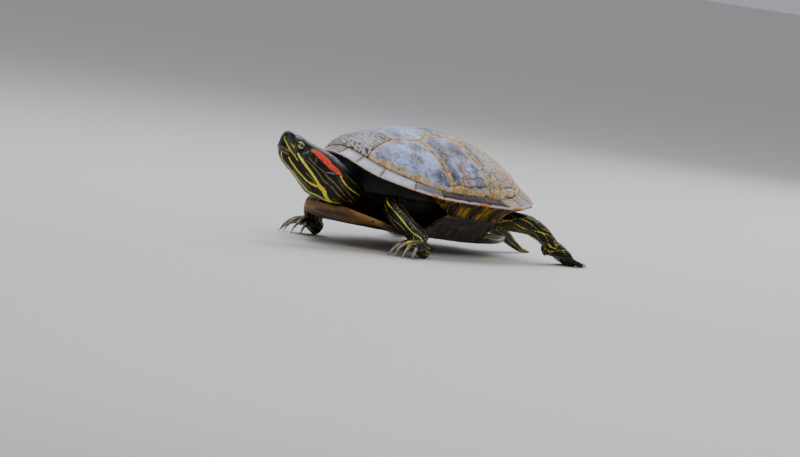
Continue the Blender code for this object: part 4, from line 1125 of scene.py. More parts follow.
def paw_rows(name):
    """Paths in world millimetres on the floor: palm, digits, webs and claws."""
    shape = PAWS[name[:4]]
    wrist = to_world(np.array(LIMBS[name][-1][:3]) * CARAPACE)[:2] / MM
    ahead = unit(HEADINGS[name])
    side = np.array([ahead[1], -ahead[0]])

    def spot(forward, across, height):
        """Wrist + forward along the paw + across it, at a height, in mm."""
        return (*(wrist + ahead * forward + side * across), height)

    palm = [(*spot(f, 0, z), w, h) for f, z, w, h in shape["palm"]]
    (root, root_high), knuckle, tip, claw, point = shape["digit"]
    palm_half, half, thick = shape["palm"][-1][2] * KNUCKLES, shape["digit_half"], shape["claw_half"]
    digits, claws, webs = [], [], []
    for share in np.linspace(-1, 1, 5):
        bend, shorter = np.radians(shape["fan"]) * share, 1 - 0.20 * share ** 2
        lower = shape["drop"] * share ** 2

        def on_digit(forward, height, wide, high, turn=bend, short=shorter, sink=lower, place=share):
            """A row on this digit: from the knuckles outwards along its own turned ray."""
            out = (forward - root) * short
            return (*spot(root + out * np.cos(turn), palm_half * place + out * np.sin(turn),
                          max(height - sink, high)), wide, high)

        digits.append([on_digit(root, root_high, half, half), on_digit(*knuckle, half * 1.04, half),
                       on_digit(*tip, half * 0.94, half * 0.92),
                       on_digit(tip[0] + 1.9, tip[1] - 1.0, half * 0.62, half * 0.6),
                       on_digit(tip[0] + 2.6, tip[1] - 1.5, 0.2, 0.2)])
        claws.append([on_digit(tip[0] - 1.0, tip[1] + 0.3, thick * 0.9, thick),
                      on_digit(tip[0] + 2.4, tip[1] - 0.2, thick, thick * 1.1),
                      on_digit(claw[0], claw[1] + 0.5, thick * 0.72, thick * 0.85),
                      on_digit((claw[0] + point[0]) / 2, (claw[1] + point[1]) / 2 + 0.9, 0.5, 0.62),
                      on_digit(point[0], max(point[1], 0.35), 0.16, 0.2)])
    out = shape["web"] - root
    far_high = np.interp(shape["web"], [knuckle[0], tip[0]], [knuckle[1], tip[1]])
    for share in np.linspace(-0.75, 0.75, 4):
        bend, reach = np.radians(shape["fan"]) * share, palm_half * share
        webs.append([(*spot(root - 2, reach * 0.9, root_high - 0.6), 2.6, 1.8),
                     (*spot(root + out * 0.5 * np.cos(bend), reach + out * 0.5 * np.sin(bend),
                            (root_high + far_high) / 2 - 1.0), 2.9, 0.9),
                     (*spot(root + out * np.cos(bend), reach + out * np.sin(bend), far_high - 1.4),
                      2.4, 0.6)])
    return palm, digits, webs, claws


def tube_of(rows, count, sides, shrink=0.0):
    """A path given in world millimetres as a closed tube in metres."""
    return tube_mesh(rings_of(carried_path(np.array(rows) * MM, count), sides, shrink=shrink))


print("a paw has", [len(rows) for rows in paw_rows("fore_left")], "palm rows, digits, webs and claws")

# %% [markdown]
# ## One skin
# Overlapping tubes become one form by a voxel remesh, which rounds every crease the way skin does
# between a digit and the palm. A few rounds of smoothing follow. The limbs, tail, and the head with
# its finer grid are then joined to the trunk by exact unions, so one closed surface covers it all.

# %% Fusing
VOXEL = 0.74 * MM
SMOOTH_ROUNDS = 3


def joined(parts):
    """Points and faces of several meshes in one list, each part's faces counted on from the last."""
    starts = np.cumsum([0] + [len(points) for points, _ in parts[:-1]])
    points = np.concatenate([points for points, _ in parts])
    faces = [[i + start for i in face] for (_, part), start in zip(parts, starts) for face in part]
    return points, faces


def baked(helper):
    """The helper's mesh with its modifiers applied; the helper itself is removed."""
    bpy.context.view_layer.update()
    evaluated = helper.evaluated_get(bpy.context.evaluated_depsgraph_get())
    mesh = bpy.data.meshes.new_from_object(evaluated)
    bpy.data.objects.remove(helper, do_unlink=True)
    return mesh


def fused(name, parts):
    """Voxel remesh, then smoothing, of overlapping closed tubes."""
    helper = add_object(name, plain_mesh(name, *joined(parts)))
    remesh = helper.modifiers.new("fuse", "REMESH")
    remesh.mode, remesh.voxel_size = "VOXEL", VOXEL
    ease = helper.modifiers.new("ease", "SMOOTH")
    ease.factor, ease.iterations = 0.5, SMOOTH_ROUNDS
    return baked(helper)


def tail_relief(length, angle):
    """Rings of scales 3 mm apart, the same at every angle, beginning past the tail's root."""
    return -0.22 * (1 - np.abs(np.sin(np.pi * length / 3.0))) ** 2 * smoothstep(length / 12)


skin_parts, paw_claws = [], {}
for name, rows in LIMBS.items():
    palm, digits, webs, paw_claws[name] = paw_rows(name)
    limb = tube_mesh(to_world(rings_of(carried_path(np.array(rows) * CARAPACE, 84), 60, limb_relief)))
    skin_parts.append(fused("fused_" + name, [limb, tube_of(palm, 24, 28, SKIN_INSET),
                                              *[tube_of(digit, 26, 18, SKIN_INSET) for digit in digits],
                                              *[tube_of(web, 14, 14) for web in webs]]))
    print(name, "polygons", len(skin_parts[-1].polygons))
tail_path = carried_path(np.array(TAIL) * CARAPACE, 90)
tail_rings = rings_of(tail_path, 44, tail_relief)

# %% [markdown]
# The trunk fills the shell. Most of it is hidden, so it is plain: a few rings under the plates, down
# the wall and over the plastron. Where the limbs and neck leave it, its skin shows.

# %% The trunk
SIDES_OF_TRUNK, RINGS_OF_TRUNK = 110, 49
BELOW_PLATES = PLATE + 4 * GAP
round_trunk = np.linspace(-np.pi, np.pi, SIDES_OF_TRUNK, endpoint=False)
trunk_rows = []
for share in (0.26, 0.50, 0.67, 0.775):
    lift, up = on_dome(polar(round_trunk, share))
    trunk_rows.append(lift - BELOW_PLATES * up)
trunk_rows[-1][:, 2] -= 0.012 * CARAPACE
# Share of the rim's radius and height as a share of the carapace, down the wall.
for share, height in ((0.771, -0.008), (0.741, -0.032), (0.691, -0.066), (0.611, -0.100),
                      (0.496, -0.127)):
    level = np.full((SIDES_OF_TRUNK, 1), height * CARAPACE)
    trunk_rows.append(np.concatenate([polar(round_trunk, share), level], 1))
trunk_rings = smooth_rows(np.array(trunk_rows).reshape(len(trunk_rows), -1),
                          np.linspace(0, 1, RINGS_OF_TRUNK)).reshape(RINGS_OF_TRUNK, -1, 3)
print("trunk rings", trunk_rings.shape)

# %% Joining
whole, *others = [add_object(name, plain_mesh(name, *tube_mesh(to_world(rings)))) for name, rings in
                  (("trunk_form", trunk_rings), ("head_form", whole_rings), ("tail_form", tail_rings))]
others += [add_object(mesh.name, mesh) for mesh in skin_parts]
for part in (whole, *others):
    turn_out(part.data)
for other in others:
    join = whole.modifiers.new(other.name, "BOOLEAN")
    join.operation, join.object, join.solver = "UNION", other, "MANIFOLD"
skin_mesh = baked(whole)
for other in others:
    bpy.data.objects.remove(other, do_unlink=True)
skin_points = read(skin_mesh.vertices, "co")
skin_points[:, 2] = np.maximum(skin_points[:, 2], 0.0)           # nothing below the floor
skin_mesh.vertices.foreach_set("co", skin_points.ravel())
skin_mesh.calc_loop_triangles()
print("skin points", len(skin_points), "triangles", len(skin_mesh.loop_triangles))

# %% [markdown]
# ## Where on the body a point lies
# The markings run along the body, so each skin point is first told its nearest path: how far along
# it lies, at what angle round it and how far out. The head and neck count as one path from the beak,
# and each limb's path runs on through the palm and the toes.

# %% Paths in the world's frame
def world_path(path):
    """The path's centres and directions turned into the world's frame."""
    made = {key: path[key] @ PITCH_TURN.T for key in ("side", "rise", "along")}
    return {**made, "centre": to_world(path["centre"]), "length": path["length"], "half": path["half"]}


def lengthened(path, centres, directions, half):
    """The path with more centres at its end, all with one set of directions and half sizes."""
    count = len(centres)
    centre = np.concatenate([path["centre"], centres])
    step = np.linalg.norm(np.diff(centre, axis=0), axis=1)
    more = {key: np.concatenate([path[key], np.tile(value, (count, 1))])
            for key, value in {**directions, "half": half}.items()}
    return {"centre": centre, "length": np.concatenate([[0], np.cumsum(step)]), **more}


AXIS_POINTS = 40
axis_back = np.linspace(-3.0, HEAD_END, AXIS_POINTS)
axis_up = np.interp(axis_back, HEAD_SECTIONS[:, 0], (HEAD_SECTIONS[:, 1] + HEAD_SECTIONS[:, 2]) / 2)
head_axis = {key: np.tile(value, (AXIS_POINTS, 1)) for key, value in
             (("side", HEAD_LEFT), ("rise", HEAD_UP), ("along", -FORWARD), ("half", [0.014, 0.016]))}
head_axis["centre"], head_axis["length"] = from_head(axis_back, 0, axis_up), axis_back * MM
neck_path["length"] = neck_path["length"] + (HEAD_END + 0.7) * MM
head_and_neck = {key: np.concatenate([head_axis[key], neck_path[key]]) for key in head_axis}
paths = {"head": world_path(head_and_neck), "tail": world_path(tail_path)}
for name, rows in LIMBS.items():
    limb = world_path(carried_path(np.array(rows) * CARAPACE, 60))
    palm = carried_path(np.array(paw_rows(name)[0]) * MM, 12)["centre"]
    ahead = unit([*HEADINGS[name], 0.0])
    toes = palm[-1] + ahead * np.linspace(2, 16, 8)[:, None] * MM
    across = np.cross(ahead, UP)
    directions = {"side": across * np.sign(across @ limb["side"][-1]),
                  "rise": UP * np.sign(limb["rise"][-1][2] + 1e-9), "along": ahead}
    paths[name] = lengthened(limb, np.concatenate([palm[3:], toes]), directions, [0.009, 0.005])
names = list(paths)


def place_on(path, points):
    """Along (mm), angle (radians), reach (mm) and how far outside the path's own thickness (mm).

    All are taken from the offset to the nearest centre, split into its side, rise and along parts.
    """
    centre = path["centre"]
    square = (points ** 2).sum(-1)[:, None] - 2 * points @ centre.T + (centre ** 2).sum(-1)
    nearest = square.argmin(1)
    offset = points - centre[nearest]
    u, v, w = ((offset * path[key][nearest]).sum(-1) for key in ("side", "rise", "along"))
    outside = np.linalg.norm(offset, axis=-1) - path["half"][nearest].mean(-1)
    return (path["length"][nearest] + w) / MM, np.arctan2(v, u), np.hypot(u, v) / MM, outside / MM


def owners(points):
    """Every path's places of the points, the least distance outside a path, and that path's number."""
    found = {name: place_on(paths[name], points) for name in names}
    beyond = np.stack([found[name][3] for name in names], -1)
    return found, beyond.min(-1), beyond.argmin(-1)


placed, _, owner = owners(skin_points)
print({name: int((owner == number).sum()) for number, name in enumerate(names)})

# %% [markdown]
# ## Markings
# A slider's skin is nearly black, drawn over with yellow lines that run with the body, and behind
# each eye lies the red patch that names it. Every line is a short route of how far along, at what
# angle and how wide; the distance to the nearest line is stored, and the material only has to ask
# whether it is below zero. Angles run from -90 under the throat, 0 at the side, to 90 on the crown.

# %% Routes on the head and neck
# (mm behind the beak, degrees, half width in mm)
RED = {"patch": ((18, 37, 0.5), (20.5, 37, 1.9), (25, 37, 2.9), (31, 36, 3.1), (37, 34, 2.8),
                 (42, 29, 1.7), (46, 22, 0.3))}
YELLOW = {
    "from red patch": ((44, 22, 0.5), (47, 12, 0.5), (52, 4, 0.45), (62, 2, 0.4), (74, 4, 0.3)),
    "below the eye": ((11, -7, 0.7), (14, -13, 0.95), (19, -18, 0.95), (26, -23, 0.85),
                      (33, -29, 0.9), (38, -35, 1.1), (41, -44, 1.25), (45, -55, 1.2),
                      (52, -62, 1.1), (70, -56, 0.9)),
    "from the mouth": ((7.5, -43, 0.5), (13, -48, 0.7), (21, -51, 0.75), (29, -49, 0.75),
                       (36, -42, 0.9)),
    "snout": ((-2.2, -10, 0.35), (1, -14, 0.45), (4, -18, 0.45), (8, -21, 0.4), (11.5, -24, 0.3)),
    "mouth corner": ((9, -19, 0.3), (13.5, -26, 0.4)),
    "chin": ((1.5, -64, 0.5), (6, -78, 0.6), (12, -74, 0.65), (19, -77, 0.75), (27, -79, 0.85),
             (34, -74, 0.9), (41, -69, 0.9), (50, -70, 0.8), (66, -72, 0.7)),
    "throat": ((14, -90, 0.4), (24, -89, 0.5), (36, -88, 0.5), (60, -88, 0.5)),
    "eye front": ((3.4, 10, 0.2), (4.4, 6, 0.35), (6.2, 3, 0.35)),
}
OLIVE = {
    "upper wave": ((19, 5, 0.25), (27, 1, 0.3), (36, 3, 0.3), (41, -5, 0.35), (47, -12, 0.35),
                   (56, -22, 0.4), (74, -26, 0.4)),
    "middle wave": ((18, -6, 0.2), (26, -8, 0.3), (34, -13, 0.3), (42, -21, 0.35), (52, -30, 0.4),
                    (74, -36, 0.4)),
    "lower wave": ((24, -34, 0.25), (32, -36, 0.3), (40, -52, 0.25), (50, -48, 0.35),
                   (74, -46, 0.4)),
    "neck side": ((42, 14, 0.25), (50, -4, 0.3), (60, -12, 0.3), (74, -14, 0.3)),
    "neck top": ((48, 34, 0.25), (58, 24, 0.3), (74, 20, 0.3)),
    "nape": ((50, 60, 0.25), (62, 55, 0.3), (74, 52, 0.3)),
    "jaw": ((15, -62, 0.25), (25, -66, 0.35), (34, -60, 0.35), (44, -78, 0.3), (60, -80, 0.35)),
}
# Painted highlights: pale blue strokes where the sky would glint, on the crown's edge, behind the eye
# and on the neck.
SKY_GLINTS_PAINTED = {
    "behind the eye": ((14, 6, 0.2), (16, 16, 0.3), (17, 26, 0.3)),
    "neck": ((38, 4, 0.2), (40, 14, 0.3), (42, 24, 0.25)),
    "crown edge": ((0, 52, 0.2), (5, 60, 0.3), (14, 62, 0.25)),
}
HEAD_ROUTES = {"yellow": YELLOW, "olive": OLIVE, "sky": SKY_GLINTS_PAINTED, "red": RED}
# Bold yellow and thin olive lines: degrees round the limb, half width in mm, wave in degrees.
LIMB_LINES = {
    "fore": (((136, 0.68, 4), (-62, 0.5, 5)),
             ((166, 0.35, 6), (-164, 0.4, 7), (-136, 0.35, 6), (98, 0.35, 6), (60, 0.3, 6),
              (20, 0.3, 6), (-100, 0.35, 5), (-20, 0.3, 6))),
    "hind": (((168, 0.30, 11), (-170, 0.36, 12), (-60, 0.35, 6)),
             ((146, 0.4, 11), (124, 0.35, 8), (-146, 0.35, 8), (-120, 0.35, 6), (90, 0.3, 6),
              (40, 0.3, 6), (-20, 0.3, 6))),
    "tail": (((150, 0.6, 3), (30, 0.6, 3)), ((-150, 0.4, 3), (-30, 0.4, 3), (90, 0.3, 2))),
}
print("routes on the head", {key: len(routes) for key, routes in HEAD_ROUTES.items()})

# %% Distances to the lines
FAR = 9.0                            # mm: no mark near
BROAD_REACH = 16                     # mm: a mark is drawn no wider than on a neck this thick


def turned(angle):
    """An angle brought into minus pi to pi."""
    return (angle + np.pi) % (2 * np.pi) - np.pi


def line_distance(along, angle, reach, route):
    """Smallest over the route's samples of the distance in the surface, less the half width, in mm."""
    rows = smooth_rows(route, np.linspace(0, 1, 10 * len(route)))
    bend = turned(angle[:, None] - np.radians(rows[:, 1]))
    away = np.hypot(along[:, None] - rows[:, 0], np.minimum(reach[:, None], BROAD_REACH) * bend)
    return (away - rows[:, 2]).min(1)


def lines_round(along, angle, reach, lines, wave_length):
    """The same for lines that run the whole length at one angle, with a gentle wave."""
    far = np.full(len(along), FAR)
    for number, (at, half, wave) in enumerate(lines):
        sway = wave * np.sin(along * 2 * np.pi / wave_length + number * 2.1)
        width = half * (0.75 + 0.35 * np.sin(along * 0.45 + number))
        far = np.minimum(far, reach * np.abs(turned(angle - np.radians(at + sway))) - width)
    return far


probe = (np.array([31.0]), np.radians([36.0]), np.array([14.0]))
print("the red patch is drawn", -line_distance(*probe, RED["patch"]).round(2), "mm to each side")


# %% Marks of each path
def head_marks(points, along, angle, reach):
    """Marks, coarseness, beak and sheen of head and neck; the yellow also rings the front of the eye.

    The lips are two bells of the height above the mouth, and the crown shines where it faces up.
    """
    side_angle = np.arctan2(np.sin(angle), np.abs(np.cos(angle)))
    marks = {key: np.min([line_distance(along, side_angle, reach, route)
                          for route in routes.values()], 0) for key, routes in HEAD_ROUTES.items()}
    inside = folded(to_head((points - SHELL_AT) @ PITCH_TURN))
    back, _, up = inside.T
    from_eye, _, _, _, past = lid_radius(inside)
    front = smoothstep((EYE_AT[0] + 2.2 - back + 0.5 * (up - EYE_AT[2])) / 1.5)
    ring = np.where((from_eye < 9) & (past > 4), np.abs(past - 17) * 0.08 - 0.28, FAR)
    marks["yellow"] = np.minimum(marks["yellow"], ring + 3 * (1 - front))
    lips = bell(up - 0.9, 1.0) + bell(up + 1.3, 0.9)
    crown = smoothstep((np.degrees(side_angle) - 44) / 20)
    return {**marks, "coarse": 0.02 + 0.26 * smoothstep((along - 24) / 30),
            "beak": lips * smoothstep((9 - back) / 5) * smoothstep((up + 3) / 2),
            "sheen": crown * smoothstep((60 - along) / 20)}


def limb_marks(name, along, angle, reach):
    """Lines, coarseness and sheen of a limb or the tail; the right side mirrors the left."""
    if name.endswith("right"):
        angle = np.pi - angle
    bold, thin = LIMB_LINES[name[:4]]
    return {"yellow": lines_round(along, angle, reach, bold, 24.0),
            "olive": lines_round(along, angle, reach, thin, 17.0),
            "coarse": 1.0 if name != "tail" else 0.5,
            "sheen": bell(turned(angle - np.radians(112)), 0.30) * smoothstep((along - 26) / 10) * 0.8}


def markings(points):
    """Distances in mm to yellow, olive and red marks and to painted sky highlights, and shares from 0
    to 1 of the rest.

    Deep is 1 on the trunk, away from every path; marks end there, and the groin's skin is pale.
    """
    found, beyond, mine = owners(points)
    start = {**dict.fromkeys(HEAD_ROUTES, FAR), "coarse": 0.30, "beak": 0.0, "sheen": 0.0}
    marks = {key: np.full(len(points), value) for key, value in start.items()}
    for number, name in enumerate(names):
        pick = mine == number
        along, angle, reach, _ = (value[pick] for value in found[name])
        made = (head_marks(points[pick], along, angle, reach) if name == "head"
                else limb_marks(name, along, angle, reach))
        for key, values in made.items():
            marks[key][pick] = values
    deep = smoothstep((beyond - 1.5) / 3)
    for key in HEAD_ROUTES:
        marks[key] += 3 * deep
    marks["coarse"] = marks["coarse"] * (1 - deep) + 0.25 * deep
    _, y, z = ((points - SHELL_AT) @ PITCH_TURN / CARAPACE).T
    marks["groin"] = (smoothstep((y - 0.16) / 0.06) * smoothstep((0.36 - y) / 0.06)
                      * smoothstep((-z - 0.035) / 0.04) * np.maximum(deep, 0.35))
    return marks


print("a point on the left cheek", {key: round(float(value[0]), 2) for key, value in
                                    markings(to_world(from_head([20.0], [12.0], [-3.0]))).items()})

# %% [markdown]
# ## Skin
# Turtle skin is dry-looking leather of small bead-like scales, here still wet, so it is nearly black
# with a cool sheen. Beads are under a millimetre on head and neck and two or three on the limbs. The
# yellow is laid in the scales, so its edge is a little ragged and its colour duller at the borders.


# %% The skin's material
def scaly_skin(name):
    """Black-olive leather with yellow, olive and red marks and painted pale blue sky highlights, read
    from the stored distances.

    Beads are cells high away from their borders, 2.6 mm wide on the limbs; those of the head are
    drawn at 1.1 mm, a little coarser than the real ones, so that they show.
    """
    look, shader = new_look(name, Roughness=0.36, IOR=1.42, Specular_IOR_Level=0.35)
    place = add_node(look, "TexCoord", pick="Object")
    cloud, ragged = (add_node(look, "TexNoise", {"Vector": place, "Scale": 1 / (size * MM),
                                                 "Detail": detail, "Roughness": 0.6})
                     for size, detail in ((10, 4), (1.6, 3)))
    marks = {key: add_node(look, "Attribute", pick="Fac", attribute_name=key)
             for key in ("yellow", "olive", "sky", "red", "coarse", "groin", "beak", "sheen")}
    small, large = (
        add_node(look, "MapRange", {1: 0.02, 2: 0.28, 0: add_node(
            look, "TexVoronoi", {"Vector": place, "Scale": 1 / (size * MM), "Randomness": 0.85},
            "Distance", feature="DISTANCE_TO_EDGE")}, **EASED) for size in (1.1, 2.6))
    on_limbs = add_node(look, "MapRange", {0: marks["coarse"], 1: 0.4, 2: 0.9}, **EASED)
    beads = add_node(look, "Mix", {0: on_limbs, 2: small, 3: large})
    # Wet leather: black-olive in clouds, a grey sheen painted into the colour on the crown and shins as
    # a painted highlight, dark between the beads.
    ground = paint(look, "050605", "14170F", cloud, 0.35, 0.68)
    ground = paint(look, ground, "56636E", cloud, 0.25, 0.55, marks["sheen"])
    between = add_node(look, "Math", {0: 1.0, 1: beads}, operation="SUBTRACT")
    depth = add_node(look, "Math", {0: marks["coarse"], 1: 0.1}, operation="ADD")
    gaps = add_node(look, "Math", {0: between, 1: depth}, operation="MULTIPLY")
    ground = add_node(look, "Mix", {0: gaps, 6: ground, 7: "0A0B08"}, 2, data_type="RGBA")
    groin = paint(look, "4A4420", "7C7434", cloud, 0.3, 0.7)
    colour = paint(look, ground, groin, ragged, 0.25, 0.6, marks["groin"])
    # Marks lie where their distance, made ragged by up to stray mm, falls below zero.
    bright = paint(look, "C6B81E", "E2DA46", cloud, 0.35, 0.7)
    fire = paint(look, "C8371F", "E8543A", ragged, 0.35, 0.7)
    centred = add_node(look, "Math", {0: ragged, 1: 0.5}, operation="SUBTRACT")
    # The sky mark is a painted highlight, not a line of the skin.
    for key, over, low, high, stray in (
            ("sky", "6F8294", 0.20, -0.15, 0.36), ("olive", "857B34", 0.28, -0.20, 0.405),
            ("yellow", bright, 0.16, -0.22, 0.9), ("red", fire, 0.2, -0.3, 0.9)):
        edge = add_node(look, "Math", {0: centred, 1: stray, 2: marks[key]}, operation="MULTIPLY_ADD")
        colour = paint(look, colour, over, edge, low, high)
    horn = paint(look, "3A3128", "806A52", ragged, 0.3, 0.65)
    colour = paint(look, colour, horn, marks["beak"], 0.25, 0.9)
    wet = add_node(look, "MapRange", {0: cloud, 1: 0.3, 2: 0.7, 3: 0.24, 4: 0.44})
    steep = add_node(look, "Math", {0: marks["coarse"], 1: 0.06}, operation="ADD")
    height = add_node(look, "Math", {0: beads, 1: steep}, operation="MULTIPLY")
    bump = add_node(look, "Bump", {"Strength": 0.60, "Distance": 0.5 * MM, "Height": height})
    give(look, shader, {"Base Color": colour, "Roughness": wet, "Normal": bump})
    return look


skin_look = scaly_skin("damp_beaded_skin")
print("skin's shader nodes", len(skin_look.node_tree.nodes))

# %% Skin piece
FLESH = ["head", "lower_jaw", "neck", "trunk", "tail",
         *[f"{part}_{word}" for part in ("upper_arm", "forearm", "hand", "thigh", "shank", "foot")
           for word in ("left", "right")]]
skin = add_piece("skin", skin_mesh, skin_look)
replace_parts(skin, *FLESH)
for key, values in markings(skin_points).items():
    set_values(skin, key, values)
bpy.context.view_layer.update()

# %% [markdown]
# ## Eyes
# The eye is a wet ball set deep between the lids. Its iris is yellow-green with a dark bar drawn
# straight through the round pupil, so that the stripe of the head seems to run across the eye. The
# clear cornea bulges a little over it.


# %% Iris under a wet cornea
eye_look, eye_shader = new_look("wet_cornea_over_iris", Roughness=0.04, IOR=1.38, Coat_Weight=1.0,
                                Coat_Roughness=0.02)
place = add_node(eye_look, "TexCoord", pick="Object")
streaks = add_node(eye_look, "TexNoise", {"Vector": place, "Scale": 1 / (0.7 * MM), "Detail": 4,
                                          "Roughness": 0.7})
off, level = (add_node(eye_look, "Attribute", pick="Fac", attribute_name=key)
              for key in ("off", "level"))
above_bar = add_node(eye_look, "Math", {0: level, 1: 0.15}, operation="ADD")
bar = add_node(eye_look, "Math", {0: above_bar}, operation="ABSOLUTE")
iris = paint(eye_look, "75801A", "C6D244", streaks, 0.35, 0.65)
# Degrees off the gaze: a darker border from 30, painted shade of the lids, the pupil within 20, and
# black past 45, painted shade under the lids.
for over, value, low, high in (("4C5813", off, 30.0, 40.0), ("0D0D08", bar, 1.05, 0.70),
                               ("020202", off, 20.0, 18.0), ("050503", off, 39.0, 45.0)):
    iris = paint(eye_look, iris, over, value, low, high)
give(eye_look, eye_shader, {"Base Color": iris})
print("eye's shader nodes", len(eye_look.node_tree.nodes))


# %% Eyeballs
BALL_INSET, CORNEA_BULGE = 0.12, 0.28                # mm
CORNEA_SPREAD = 0.62                 # radians off the gaze


def eyeball(name, side):
    """P = C + (R + bulge) n, rings round the gaze; degrees off the gaze and height are stored."""
    off = np.linspace(0.0, np.pi, 60)[1:-1]
    spin = np.linspace(0, 2 * np.pi, 72, endpoint=False)
    way = (np.cos(off)[:, None, None] * GAZE + np.sin(off)[:, None, None]
           * (np.cos(spin)[:, None] * EYE_FORE + np.sin(spin)[:, None] * EYE_RISE))
    bulge = CORNEA_BULGE * bell(off, CORNEA_SPREAD)[:, None, None]
    ball = EYE_AT + way * (EYE_RADIUS - BALL_INSET + bulge)
    ball[..., 1] *= side
    piece = add_tube(name, to_world(from_head(*np.moveaxis(ball, -1, 0))), eye_look)
    degrees = np.broadcast_to(np.degrees(off)[:, None], way.shape[:2])
    for key, values, ends in (("off", degrees, (0.0, 180.0)),
                              ("level", (way @ EYE_RISE) * EYE_RADIUS, (0.0, 0.0))):
        set_values(piece, key, [*values.ravel(), *ends])
    return piece


for side, word in ((1, "left"), (-1, "right")):
    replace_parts(eyeball(f"eyeball_{word}", side), f"eye_{word}")
print("eyeballs made")

# %% [markdown]
# ## Claws
# Claws are keratin cones, curved down and a little flattened, dark at the root and worn pale along
# the edge. A male slider has long ones on his hands. All the claws of a paw make one piece.

# %% Claws
CLAW_RINGS, CLAW_SIDES = 22, 14
claw_look, claw_shader = new_look("worn_claw_keratin", Roughness=0.34, IOR=1.54, Coat_Weight=0.2)
place = add_node(claw_look, "TexCoord", pick="Object")
fibre = add_node(claw_look, "TexNoise", {"Vector": place, "Scale": 1 / (1.2 * MM), "Detail": 4,
                                         "Roughness": 0.6})
out = add_node(claw_look, "Attribute", pick="Fac", attribute_name="out")
tone = paint(claw_look, "5A5142", "B5AB94", fibre, 0.35, 0.7)
tone = paint(claw_look, tone, "1C1914", out, 0.35, 0.02)
give(claw_look, claw_shader, {"Base Color": tone, "Normal": horn_bump(claw_look, place, 0.3)})
for name, claws in paw_claws.items():
    points, faces = joined([tube_of(rows, CLAW_RINGS, CLAW_SIDES) for rows in claws])
    points[:, 2] = np.maximum(points[:, 2], 0.0)
    mesh = plain_mesh(f"claws_{name}", points, faces)
    turn_out(mesh)
    piece = add_piece(f"claws_{name}", mesh, claw_look)
    along_claw = [*np.repeat(np.linspace(0, 1, CLAW_RINGS), CLAW_SIDES), 0.0, 1.0]
    set_values(piece, "out", along_claw * len(claws))
print("claws made", list(paw_claws))

# %% [markdown]
# ## Scales of the limbs
# The front of the forearm and the back of the hind foot carry larger scales that overlap towards
# the toes and take the wear. Roots are spread over a staggered net round each limb, each is given to
# the skin point nearest to it, and one small domed plate is set there, its free edge a little raised.
# They take the skin's own markings, so a yellow line runs over skin and scales alike.

# %% Roots of the scales
STEP_ALONG, STEP_ROUND = 2.1, 2.5    # mm between neighbours
PER_RING = np.round(2 * np.pi * 7.5 / STEP_ROUND)    # on a limb of 7.5 mm radius
SCALED = {"fore": (33.0, 66.0), "hind": (42.0, 80.0)}          # mm from the shoulder or hip
CLOSE, OFF_FLOOR = 2.0, 2.2          # mm outside the limb's own thickness, mm above the floor
LEAST_UP = -0.75                     # no scale where the skin faces straight down
SMALLEST = 0.62                      # size at the ends of the scaled stretch
skin_normals = read(skin_mesh.vertices, "normal")
roots, ways, sizes, unwrap = [], [], [], []
for limb_number, name in enumerate(LIMBS):
    first, last = SCALED[name[:4]]
    along, angle, _, beyond = placed[name]
    pick = np.flatnonzero((owner == names.index(name)) & (along > first) & (along < last)
                          & (beyond < CLOSE) & (skin_points[:, 2] > OFF_FLOOR * MM)
                          & (skin_normals[:, 2] > LEAST_UP))
    row = np.round(along[pick] / STEP_ALONG)
    column_at = angle[pick] / (2 * np.pi) * PER_RING + 0.5 * (row % 2)
    column = np.round(column_at)
    miss = np.hypot(along[pick] - row * STEP_ALONG, (column_at - column) * STEP_ROUND)
    cell = row * 1000 + column % PER_RING
    order = np.lexsort((miss, cell))
    chosen = pick[order[np.unique(cell[order], return_index=True)[1]]]      # the nearest in each cell
    path = paths[name]
    nearest = ((skin_points[chosen][:, None] - path["centre"]) ** 2).sum(-1).argmin(1)
    share = smoothstep((along[chosen] - first) / 6) * smoothstep((last + 6 - along[chosen]) / 16)
    roots.append(chosen)
    ways.append(path["along"][nearest])
    sizes.append(SMALLEST + (1 - SMALLEST) * share)
    unwrap.append(np.stack([0.05 + 0.23 * limb_number + 0.2 * (angle[chosen] / (2 * np.pi) + 0.5),
                            along[chosen] / 100], -1))
roots, ways, sizes, unwrap = (np.concatenate(value) for value in (roots, ways, sizes, unwrap))
print("scales", len(roots))

# %% One domed plate, repeated
HALF_LONG, HALF_WIDE = 1.60, 1.42    # mm
FORWARD_SHIFT, FREE_EDGE, SUNK = 0.35, 0.10, 0.02    # mm ahead, up at the tip, into the skin
NARROWER = 0.12                      # at the tip
RINGS = ((0.42, 0.27), (0.78, 0.21), (1.0, 0.05), (0.90, -0.16))        # share, height in mm
rim = np.linspace(0, 2 * np.pi, 10, endpoint=False)
ring_share, ring_height = np.array(RINGS).T[..., None]
plate_points, plate_faces = tube_mesh(MM * np.stack([
    HALF_LONG * ring_share * np.cos(rim) + FORWARD_SHIFT,
    HALF_WIDE * ring_share * np.sin(rim) * (1 - NARROWER * np.cos(rim)),
    ring_height + FREE_EDGE * ring_share * np.cos(rim)], -1))
up = skin_normals[roots]
ahead = ways - (ways * up).sum(-1, keepdims=True) * up
ahead /= np.linalg.norm(ahead, axis=-1, keepdims=True)
turns = np.stack([ahead, np.cross(up, ahead), up], 1) * sizes[:, None, None]
middles = skin_points[roots][:, None] - SUNK * MM * up[:, None]
scale_points = (middles + plate_points @ turns).reshape(-1, 3)
shift = np.arange(len(roots))[:, None, None] * len(plate_points)
scale_faces = [face for sides in (4, 3) for face in (np.array(
    [face for face in plate_faces if len(face) == sides]) + shift).reshape(-1, sides).tolist()]
scale_mesh = plain_mesh("limb_scales", scale_points, scale_faces)
turn_out(scale_mesh)
limb_scales = add_piece("limb_scales", scale_mesh, skin_look)
for key, values in markings(scale_points).items():
    set_values(limb_scales, key, values)
print("scale mesh", len(scale_points), "points,", len(scale_faces), "faces")

# %% [markdown]
# A bake needs a map in which no two places share a spot. Each scale is a small patch, set at its
# root's own angle and length on its limb, and the four limbs stand side by side.

